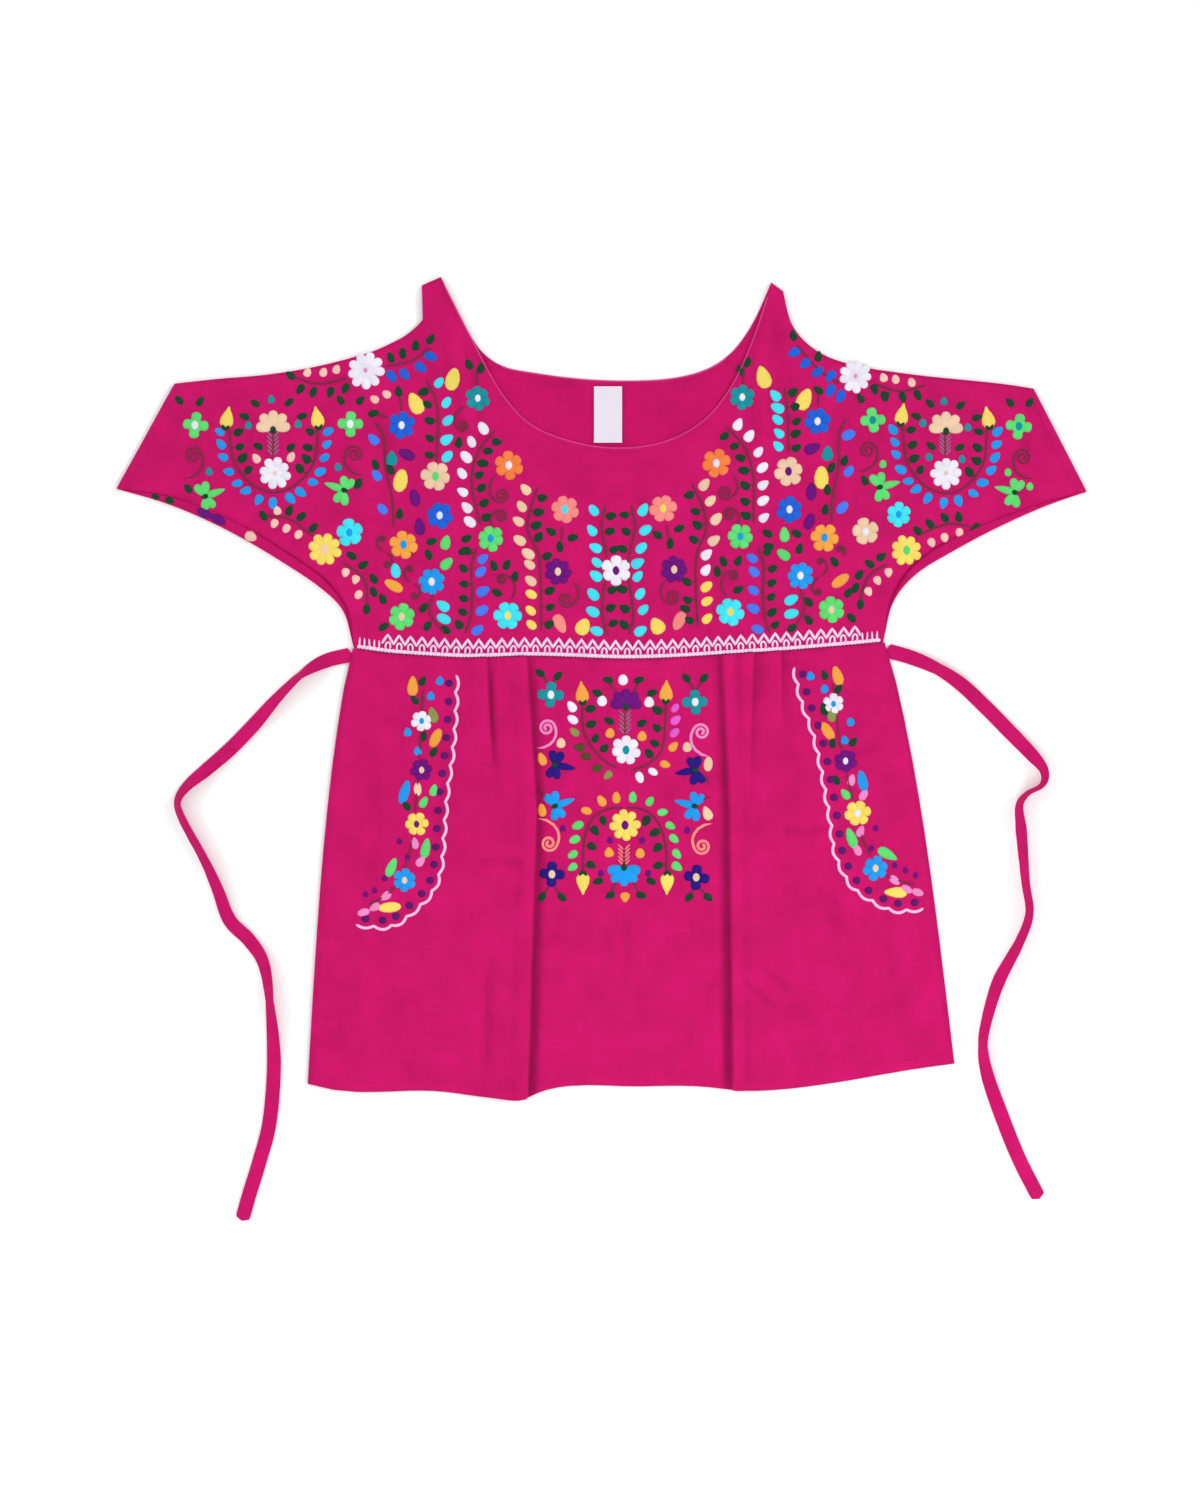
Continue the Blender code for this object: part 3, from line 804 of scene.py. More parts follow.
def make_painted_fold_shade(name):
    """Painted shade and highlight: deeper colour in the folds, and a paler one on crests."""
    group, entry, exit_node = new_group(
        name, [("Colour", "Color", None), ("Depth", "Float", 0.0)], [("Colour", "Color")]
    )
    # Troughs get painted shade, crests a painted highlight.
    trough = math_node(group, "MAXIMUM", entry.outputs["Depth"], 0.0)
    crest = math_node(group, "MINIMUM", entry.outputs["Depth"], 0.0)
    value = math_node(group, "SUBTRACT", 1.0, math_node(group, "MULTIPLY", trough, 0.42))
    value = math_node(group, "SUBTRACT", value, math_node(group, "MULTIPLY", crest, 0.1))
    result = add_node(group, "ShaderNodeHueSaturation", Color=entry.outputs["Colour"], Value=value).outputs[0]
    group.links.new(result, exit_node.inputs["Colour"])
    return group


def new_material(name):
    material = bpy.data.materials.new(name)
    material.use_nodes = True
    return material, material.node_tree, material.node_tree.nodes["Principled BSDF"]


def finish_fabric(tree, shader, colour, height, relief, **values):
    """Gives a fabric's shader its colour, the relief of its threads and its other inputs.

    relief is the strength and the distance in metres of the threads' bumps.
    """
    strength, distance = relief
    bumps = add_node(tree, "ShaderNodeBump", Height=height, Strength=strength, Distance=distance)
    tree.links.new(colour, shader.inputs["Base Color"])
    tree.links.new(bumps.outputs["Normal"], shader.inputs["Normal"])
    for key, value in values.items():
        node_input(tree, shader, key.replace("_", " "), value)


def cotton(name, colour, roughness):
    """Plain-woven cotton: matt, a little uneven in its dye and its threads."""
    settings = bpy.context.scene.blouse_cloth
    material, tree, shader = new_material(name)
    place = add_node(tree, "ShaderNodeTexCoord").outputs["Object"]
    weave = group_node(tree, "plain weave", make_weave, Place=place, Pitch=settings.weave_pitch)
    mottle = group_node(
        tree, "dye mottle", make_mottle,
        Place=place, Colour=(*colour, 1.0), Patch=0.03, Amount=0.5, Shade=weave.outputs["Shade"],
    )
    # Painted shade in the folds and a painted highlight on crests, from the fold_depth mask.
    fold = add_node(tree, "ShaderNodeAttribute", {"attribute_name": "fold_depth"}).outputs["Fac"]
    shaded = group_node(tree, "fold shade", make_painted_fold_shade, Colour=mottle.outputs["Colour"], Depth=fold)
    finish_fabric(
        tree, shader, shaded.outputs["Colour"], weave.outputs["Height"], relief=(0.7, 0.00015),
        Roughness=roughness, Specular_IOR_Level=0.08,
        Sheen_Weight=0.05, Sheen_Roughness=0.6, Sheen_Tint=(1.0, 0.3, 0.6, 1.0),
    )
    return material


class BLOUSE_OT_yokes(bpy.types.Operator):
    """Make the front and back yokes with their sleeves"""

    bl_idname = "blouse.yokes"
    bl_label = "Yokes and Sleeves"

    def execute(self, context):
        settings = context.scene.blouse_cloth
        front_cotton = cotton("magenta cotton", settings.front_colour, 0.86)
        back_cotton = cotton("magenta cotton inside", settings.back_colour, 0.9)
        front = self.make_front(settings)
        mark_folds(front)
        dress(front, front_cotton, "cloth", "yoke_front")
        back = self.make_back(settings)
        dress(back, back_cotton, "cloth", "yoke_back")
        return {"FINISHED"}

    @staticmethod
    def make_front(settings):
        folds = Folds(YOKE_CREASES)
        thickness = settings.thickness / MM
        columns = []
        for places in yoke_places("yoke_front"):
            corner = places[-1].xy
            between_straps = STRAP_LEFT[1] - NECK_MARGIN < corner.x < STRAP_RIGHT[0] + NECK_MARGIN
            at_neck = between_straps and not on_strap(corner)
            column = []
            for place in places:
                top = FRONT_LEVEL + yoke_relief(place.xy) + folds.height(place.xy)
                top += flutter(place.xy, seed=1.0)
                top += hem_form(place.end, settings.sleeve_hem / MM) - edge_drop(place.end, SLEEVE_TURN)
                if at_neck:
                    top += hem_form(place.top, settings.neck_hem / MM) - edge_drop(place.top, NECK_TURN)
                else:
                    top -= edge_drop(place.top, SHOULDER_TURN)
                top -= edge_drop(place.low, YOKE_LOW_TURN)
                top = max(top, LEAST_UNDERSIDE + thickness)
                column.append((place.xy, top - thickness, top))
            columns.append(column)
        return sheet_mesh("yoke_front_cloth", columns)

    @staticmethod
    def make_back(settings):
        """The back is flat below, and its underarm edge rolls up beside the front's edge."""
        folds = Folds(YOKE_BACK_CREASES)
        front_low = Line(yoke_edges("yoke_front")[0])
        lows, tops = yoke_edges("yoke_back")
        columns = []
        for low, top in zip(lows, tops):
            strip = max(front_low.nearest(low)[1], THIN_STRIP)
            raised = smooth((strip - THIN_STRIP) / (ROLL_FULL_STRIP - THIN_STRIP))
            roll = BACK_LEVEL + (ROLL_LEVEL - BACK_LEVEL) * raised
            length = (top - low).length
            end = end_distance(low, top, lows, tops)
            column = []
            for share, rise in ROLL_SECTION:
                place = low.lerp(top, strip * share / length)
                edge = roll * rise + ROLL_FLUTTER * flutter(place, seed=2.0) * raised
                column.append((place, 0.0, max(edge, ROLL_LEAST)))
            rows = spread(length - strip - ROLL_GAP, YOKE_INNER_ROWS)
            for row in rows:
                place = low.lerp(top, (strip + ROLL_GAP + row) / length)
                away = rows[-1] - row
                height = BACK_LEVEL + BACK_FLUTTER * flutter(place, seed=3.0)
                height -= edge_drop(away, BACK_NECK_TURN)
                height += BACK_HEM_SHARE * hem_form(away, settings.neck_hem / MM)
                trough = TROUGH_SHARE * folds.height(place)
                trough = trough * smooth(away / YOKE_TROUGH_FADE) * smooth(end / YOKE_TROUGH_FADE)
                column.append((place, trough, height + YOKE_TROUGH_SHOWN * trough))
            columns.append(column)
        return sheet_mesh("yoke_back_cloth", columns)


def pleat_x(pleat, share):
    """Where a pleat's crest runs, this share of the way down the skirt."""
    return interpolate(share, (0.0, PLEAT_MIDDLE, 1.0), (pleat.waist_x, pleat.middle_x, pleat.hem_x))


def pleat_form(x, share):
    """Rise of the front skirt over its pleats, each with a soft and a steep side."""
    rise = 0.0
    for pleat in PLEATS:
        away = (x - pleat_x(pleat, share)) * pleat.steep
        along = min(share / pleat.reach, 1.0)
        height = pleat.waist_height + (pleat.end_height - pleat.waist_height) * along
        if away > 0:
            dip = PLEAT_DIP * height * bump((away - PLEAT_DIP_AWAY) / PLEAT_DIP_WIDTH)
            rise += height * bump(away / pleat.steep_width) - dip
        else:
            soft = PLEAT_SOFT_SHARE * bump_cosine(-away / pleat.soft_width)
            rise += height * (soft + PLEAT_RIDGE_SHARE * bump(-away / PLEAT_RIDGE_WIDTH))
    return rise


class SkirtForm:
    """Reads the outline of a skirt panel."""

    def __init__(self, node):
        loop = outline(node)
        (left, right), (hem_left, hem_right) = WAIST_CORNERS, HEM_CORNERS
        waist = stretch(loop, right, left).points[::-1]
        hem = stretch(loop, hem_left, hem_right).points
        self.waist = ([point.x for point in waist], [point.y for point in waist])
        self.hem = ([point.x for point in hem], [point.y for point in hem])
        self.left = stretch(loop, left, hem_left)
        self.right = Line(stretch(loop, hem_right, right).points[::-1])

    def point(self, waist_x, share):
        """The point this share of the way down the column that starts at waist_x."""
        x = self.column_x(waist_x, share)
        start = interpolate(waist_x, *self.waist)
        return Vector((x, start + (interpolate(self.column_x(waist_x, 1.0), *self.hem) - start) * share))

    def column_x(self, waist_x, share):
        known = [self.waist[0][0], *(pleat.waist_x for pleat in PLEATS), self.waist[0][-1]]
        sides = [line.at(line.length * share).x for line in (self.left, self.right)]
        return interpolate(waist_x, known, [sides[0], *(pleat_x(pleat, share) for pleat in PLEATS), sides[1]])

    def stops(self, pleated):
        """Column starts along the waist seam, closer together on the pleats and at the sides."""
        first, last = self.waist[0][0], self.waist[0][-1]
        stops = [first + row for row in EDGE_ROWS] + [last - row for row in EDGE_ROWS]
        if pleated:
            stops += [pleat.waist_x + pleat.steep * stop for pleat in PLEATS for stop in PLEAT_STOPS]
        count = math.ceil((last - first) / COLUMN_STEP)
        for step in range(count):
            place = first + (last - first) * step / count
            if all(abs(place - stop) > LEAST_COLUMN for stop in stops):
                stops.append(place)
        return sorted(stops)


class BLOUSE_OT_skirt(bpy.types.Operator):
    """Make the front skirt with its pleats and the plain back skirt"""

    bl_idname = "blouse.skirt"
    bl_label = "Skirt"

    def execute(self, context):
        settings = context.scene.blouse_cloth
        front = self.make_front(settings)
        mark_folds(front)
        dress(front, bpy.data.materials["magenta cotton"], "cloth", "skirt_front")
        back = self.make_back(settings)
        dress(back, bpy.data.materials["magenta cotton inside"], "cloth", "skirt_back")
        return {"FINISHED"}

    @staticmethod
    def make_front(settings):
        form, folds = SkirtForm("skirt_front"), Folds(SKIRT_CREASES)
        thickness, hem = settings.thickness / MM, settings.skirt_hem / MM
        stops = form.stops(True)
        columns = []
        for stop in stops:
            length = form.point(stop, 0.0).y - form.point(stop, 1.0).y
            side = min(stop - stops[0], stops[-1] - stop)
            column = []
            for row in spread(length, SKIRT_INNER_ROWS):
                share = row / length
                place = form.point(stop, share)
                top = FRONT_LEVEL + pleat_form(place.x, share) + folds.height(place)
                top += flutter(place, seed=4.0) * smooth(row / WAIST_FADE)
                top += hem_form(length - row, hem) - edge_drop(length - row, SKIRT_HEM_TURN)
                top -= edge_drop(side, SKIRT_SIDE_TURN) + edge_drop(row, SKIRT_WAIST_TURN)
                top = max(top, LEAST_UNDERSIDE + thickness)
                column.append((place, top - thickness, top))
            columns.append(column)
        return sheet_mesh("skirt_front_cloth", columns)

    @staticmethod
    def make_back(settings):
        form, folds = SkirtForm("skirt_back"), Folds(SKIRT_BACK_CREASES)
        columns = []
        for stop in form.stops(False):
            length = form.point(stop, 0.0).y - form.point(stop, 1.0).y
            column = []
            for row in spread(length, SKIRT_INNER_ROWS):
                place = form.point(stop, row / length)
                trough = TROUGH_SHARE * folds.height(place) * smooth((length - row) / SKIRT_TROUGH_FADE)
                height = BACK_HIDDEN_LEVEL - edge_drop(length - row, BACK_HEM_TURN)
                height += SKIRT_TROUGH_SHOWN * trough
                column.append((place, trough, height))
            columns.append(column)
        return sheet_mesh("skirt_back_cloth", columns)


class TieStation(NamedTuple):
    """A point of a tie's middle line, with the tape's roll away from lying flat, in degrees."""

    x: float
    y: float
    roll: float


LEFT_TIE = [
    TieStation(-214.2, -1.9, 0.0),
    TieStation(-235.2, -7.2, 8.0),
    TieStation(-254.4, -18.4, 58.0),
    TieStation(-273.6, -36.8, 40.0),
    TieStation(-292.8, -58.4, 8.0),
    TieStation(-312.0, -78.0, 4.0),
    TieStation(-331.2, -94.8, 18.0),
    TieStation(-345.6, -107.2, 42.0),
    TieStation(-353.0, -119.4, 54.0),
    TieStation(-348.8, -134.4, 50.0),
    TieStation(-331.6, -166.4, 44.0),
    TieStation(-321.2, -190.0, 28.0),
    TieStation(-312.0, -214.4, 10.0),
    TieStation(-296.4, -230.4, 8.0),
    TieStation(-284.8, -248.4, 26.0),
    TieStation(-279.6, -278.4, 50.0),
    TieStation(-276.6, -326.4, 6.0),
    TieStation(-280.0, -374.4, 2.0),
    TieStation(-288.0, -406.4, 0.0),
    TieStation(-296.0, -432.4, 0.0),
    TieStation(-302.4, -455.0, 0.0),
]
RIGHT_TIE = [
    TieStation(212.6, 1.4, 0.0),
    TieStation(233.6, -4.8, 14.0),
    TieStation(254.0, -14.0, 44.0),
    TieStation(272.0, -25.6, 20.0),
    TieStation(291.2, -43.2, 6.0),
    TieStation(310.4, -62.8, 12.0),
    TieStation(329.6, -83.2, 34.0),
    TieStation(338.4, -95.6, 66.0),
    TieStation(336.6, -106.4, 80.0),
    TieStation(324.6, -113.2, 80.0),
    TieStation(318.4, -123.0, 72.0),
    TieStation(320.0, -142.4, 52.0),
    TieStation(323.2, -182.4, 68.0),
    TieStation(326.4, -208.4, 70.0),
    TieStation(318.8, -231.0, 64.0),
    TieStation(302.4, -262.4, 40.0),
    TieStation(292.8, -292.4, 56.0),
    TieStation(289.4, -314.4, 62.0),
    TieStation(293.6, -339.0, 34.0),
    TieStation(306.4, -374.4, 6.0),
    TieStation(319.6, -406.4, 0.0),
    TieStation(335.4, -437.4, 0.0),
]
TIE_WIDTH = 11.5
TIE_WALL = 1.4
TIE_STEP = 2.5
TIE_END = 4.0
TIE_SLACK = 0.1
TIE_FULL_WALL = 2.0
RUFFLE_HEIGHT = 0.25
RUFFLE_ALONG = 9.0
RUFFLE_ACROSS = 5.0
RUFFLE_SEED = 5.0
RUFFLE_FULL = 3.0


class SectionPoint(NamedTuple):
    """A point of half a tie's section: shares of its half width and of half its wall."""

    across: float
    up: float


TIE_SECTION = [
    SectionPoint(-1.0, 0.0),
    SectionPoint(-0.97, 0.7),
    SectionPoint(-0.86, 1.0),
    SectionPoint(-0.74, 0.72),
    SectionPoint(-0.6, 1.0),
    SectionPoint(0.0, 0.92),
    SectionPoint(0.6, 1.0),
    SectionPoint(0.74, 0.72),
    SectionPoint(0.86, 1.0),
    SectionPoint(0.97, 0.7),
]


def add_tube(mesh, rings):
    """Adds a tube through rings of points, and gives its points back in the rings' order."""
    sides = len(rings[0])
    made = bmesh.ops.create_grid(mesh, x_segments=len(rings) - 1, y_segments=sides, size=1.0)
    ordered = sorted(made["verts"], key=lambda vert: (round(vert.co.x, 5), vert.co.y))
    for index, vert in enumerate(ordered):
        station, side = divmod(index, sides + 1)
        vert.co = rings[station][side % sides]
    return ordered


class BLOUSE_OT_ties(bpy.types.Operator):
    """Make the two ties, which lie on the surface and roll over along the way"""

    bl_idname = "blouse.ties"
    bl_label = "Ties"

    def execute(self, context):
        material = bpy.data.materials["magenta cotton"]
        for name, node, stations, length in (
            ("tie_left_cloth", "tie_left", LEFT_TIE, 0.545),
            ("tie_right_cloth", "tie_right", RIGHT_TIE, 0.533),
        ):
            tie = self.make(name, stations)
            dress(tie, material, "cloth", node)
        return {"FINISHED"}

    @staticmethod
    def make(name, stations):
        line = Line(curve_points([(s.x, s.y) for s in stations], TIE_STEP))
        marks = [line.nearest((s.x, s.y))[0] for s in stations]
        count = math.ceil(line.length / TIE_STEP)
        section = [*TIE_SECTION, *(SectionPoint(-point.across, -point.up) for point in TIE_SECTION)]
        rings = []
        for index in range(count + 1):
            mark = line.length * index / count
            middle, heading = line.at(mark), line.heading(mark)
            roll = math.radians(interpolate(mark, marks, [s.roll for s in stations]))
            side = left_of(heading)
            from_end = line.length - mark if index else 0.0
            width = TIE_WIDTH * math.sqrt(max(1.0 - max(1.0 - from_end / TIE_END, 0.0) ** 2, 0.0)) / 2
            lean, rise = math.cos(roll), math.sin(roll)
            centre = (TIE_WIDTH * rise + TIE_WALL * lean) / 2
            ring = []
            for point in section:
                wide = point.across * width
                spot = Vector((mark / RUFFLE_ALONG, wide / RUFFLE_ACROSS, RUFFLE_SEED))
                ruffle = RUFFLE_HEIGHT * noise.noise(spot) * min(width / RUFFLE_FULL, 1.0)
                wall = point.up * (TIE_WALL / 2 - TIE_SLACK) * min(width / TIE_FULL_WALL, 1.0)
                thick = wall + ruffle * (point.up > 0)
                flat = middle + side * (wide * lean - thick * rise)
                ring.append(Vector((flat.x, flat.y, max(centre + wide * rise + thick * lean, 0.0))) * MM)
            rings.append(ring)
        mesh = bmesh.new()
        add_tube(mesh, rings)
        bmesh.ops.remove_doubles(mesh, verts=mesh.verts, dist=1e-7)
        return finished(name, mesh)


class Flower(NamedTuple):
    """A flower of round petals with an eye; across is its diameter."""

    x: float
    y: float
    across: float
    petals: int
    colour: str
    eye: str


class Leaves(NamedTuple):
    """Single leaves or dots of one colour and size; spots are (x, y, angle in degrees)."""

    colour: str
    length: float
    width: float
    spots: tuple


class Vine(NamedTuple):
    """A stem with leaves at its sides: left and right are (colour, count) pairs along the way.

    large names the side whose leaves are the larger ones, and grows is 1 where the leaves lean
    upwards and -1 where they lean down.
    """

    line: tuple
    left: tuple = ()
    right: tuple = ()
    large: str = ""
    grows: int = 1
    size: float = 1.0


class Spiral(NamedTuple):
    """A tendril that winds in to a centre from the end of its tail."""

    x: float
    y: float
    radius: float
    tail: tuple
    colour: str = "vine_brown"
    hand: int = 1


class Bud(NamedTuple):
    """A drop-shaped bud that points at an angle, with a green cup at its foot."""

    x: float
    y: float
    angle: float
    colour: str
    length: float = 16.0
    width: float = 10.5


class HalfFlower(NamedTuple):
    """A fan of petals that opens at an angle from a green heart."""

    x: float
    y: float
    angle: float
    across: float
    colour: str


class Butterfly(NamedTuple):
    """Four short wings and a long tail that points at an angle."""

    x: float
    y: float
    angle: float
    colour: str


class Herringbone(NamedTuple):
    """A stem of slanted stitches from its top down to its foot."""

    x: float
    top: float
    foot: float
    colour: str


class PocketEdge(NamedTuple):
    """A scalloped line with a row of dots on the side named by hand: 1 left of it, -1 right."""

    line: tuple
    hand: int


class Sampler(NamedTuple):
    """All motifs of one embroidered part."""

    flowers: tuple = ()
    leaves: tuple = ()
    vines: tuple = ()
    spirals: tuple = ()
    buds: tuple = ()
    half_flowers: tuple = ()
    butterflies: tuple = ()
    herringbones: tuple = ()
    pocket_edges: tuple = ()


LEFT_SLEEVE = Sampler(
    flowers=(
        Flower(-339.2, 180.8, 21, 4, "lime", "white"),
        Flower(-215.2, 181.6, 21, 4, "lime", "white"),
        Flower(-275.2, 142.4, 25.6, 8, "white", "cream"),
    ),
    leaves=(
        Leaves("teal", 6, 5.4, (
            (-278.4, 201.6, 90), (-296.8, 180.8, 90), (-256.8, 181.6, 90), (-328.0, 144.0, 90),
            (-224.8, 147.2, 90))),
        Leaves("leaf_green", 8, 5.2, (
            (-352.0, 200.8, 130), (-335.2, 200.0, 50), (-223.2, 200.8, 130), (-207.2, 200.8, 50),
            (-291.2, 198.4, 140), (-264.0, 199.2, 40), (-300.0, 188.0, 160), (-253.6, 188.0, 20),
            (-288.8, 164.0, 150), (-262.4, 163.2, 30), (-344.8, 130.4, 120), (-208.8, 133.6, 60))),
        Leaves("peach", 8, 6, ((-290.4, 154.4, 120), (-262.4, 155.2, 60))),
    ),
    vines=(
        Vine(
            ((-312.6, 180.6), (-308.0, 152.0), (-294.0, 134.0), (-276.0, 127.2), (-258.0, 134.0),
             (-244.0, 152.0), (-240.6, 180.6)),
            left=(("leaf_green", 12),), right=(("azure", 15),), large="right", size=0.86,
        ),
    ),
    spirals=(
        Spiral(-340.8, 156.8, 8, (-348.8, 138.0)),
        Spiral(-212.0, 157.6, 8, (-204.8, 140.8), hand=-1),
    ),
    buds=(Bud(-313.6, 186.4, 80, "yellow"), Bud(-241.6, 186.4, 100, "yellow")),
    half_flowers=(HalfFlower(-276.8, 177.0, 90, 28, "cream"),),
    butterflies=(Butterfly(-331.2, 124.0, 20, "lime"), Butterfly(-220.0, 128.8, 160, "lime")),
    herringbones=(Herringbone(-276.8, 175.2, 157.6, "silver"),),
)
RIGHT_SLEEVE = Sampler(
    flowers=(
        Flower(201.6, 184.8, 21, 4, "lime", "teal"),
        Flower(318.4, 180.0, 21, 4, "lime", "teal"),
        Flower(260.0, 142.4, 25.6, 8, "white", "cream"),
    ),
    leaves=(
        Leaves("teal", 6, 5.4, (
            (258.4, 200.0, 90), (241.6, 182.4, 90), (277.6, 179.2, 90), (246.4, 155.2, 90),
            (272.8, 153.6, 90))),
        Leaves("lime", 6, 5.4, ((209.6, 149.6, 90), (309.6, 143.2, 90), (327.2, 132.0, 90))),
        Leaves("leaf_green", 8, 5.2, (
            (192.0, 202.4, 130), (212.0, 204.0, 50), (311.2, 199.2, 130), (327.2, 199.2, 50),
            (247.2, 198.4, 140), (272.0, 196.8, 40), (195.2, 136.8, 110), (236.0, 188.0, 160),
            (285.0, 187.0, 20), (248.0, 164.0, 150), (271.0, 163.0, 30))),
    ),
    vines=(
        Vine(
            ((224.6, 182.6), (229.0, 152.0), (243.0, 133.0), (260.8, 126.4), (277.0, 133.0), (290.0, 151.0),
             (293.2, 180.6)),
            left=(("leaf_green", 12),), right=(("azure", 15),), large="right", size=0.86,
        ),
    ),
    spirals=(
        Spiral(197.6, 160.8, 8, (189.0, 144.0)),
        Spiral(321.6, 155.2, 8, (330.0, 138.0), hand=-1),
    ),
    buds=(Bud(224.8, 188.8, 80, "yellow"), Bud(293.6, 186.4, 100, "yellow")),
    half_flowers=(HalfFlower(260.0, 176.0, 90, 28, "cream"),),
    butterflies=(Butterfly(207.2, 131.2, 15, "lime"), Butterfly(315.2, 127.2, 165, "lime")),
    herringbones=(Herringbone(259.2, 174.0, 157.6, "silver"),),
)
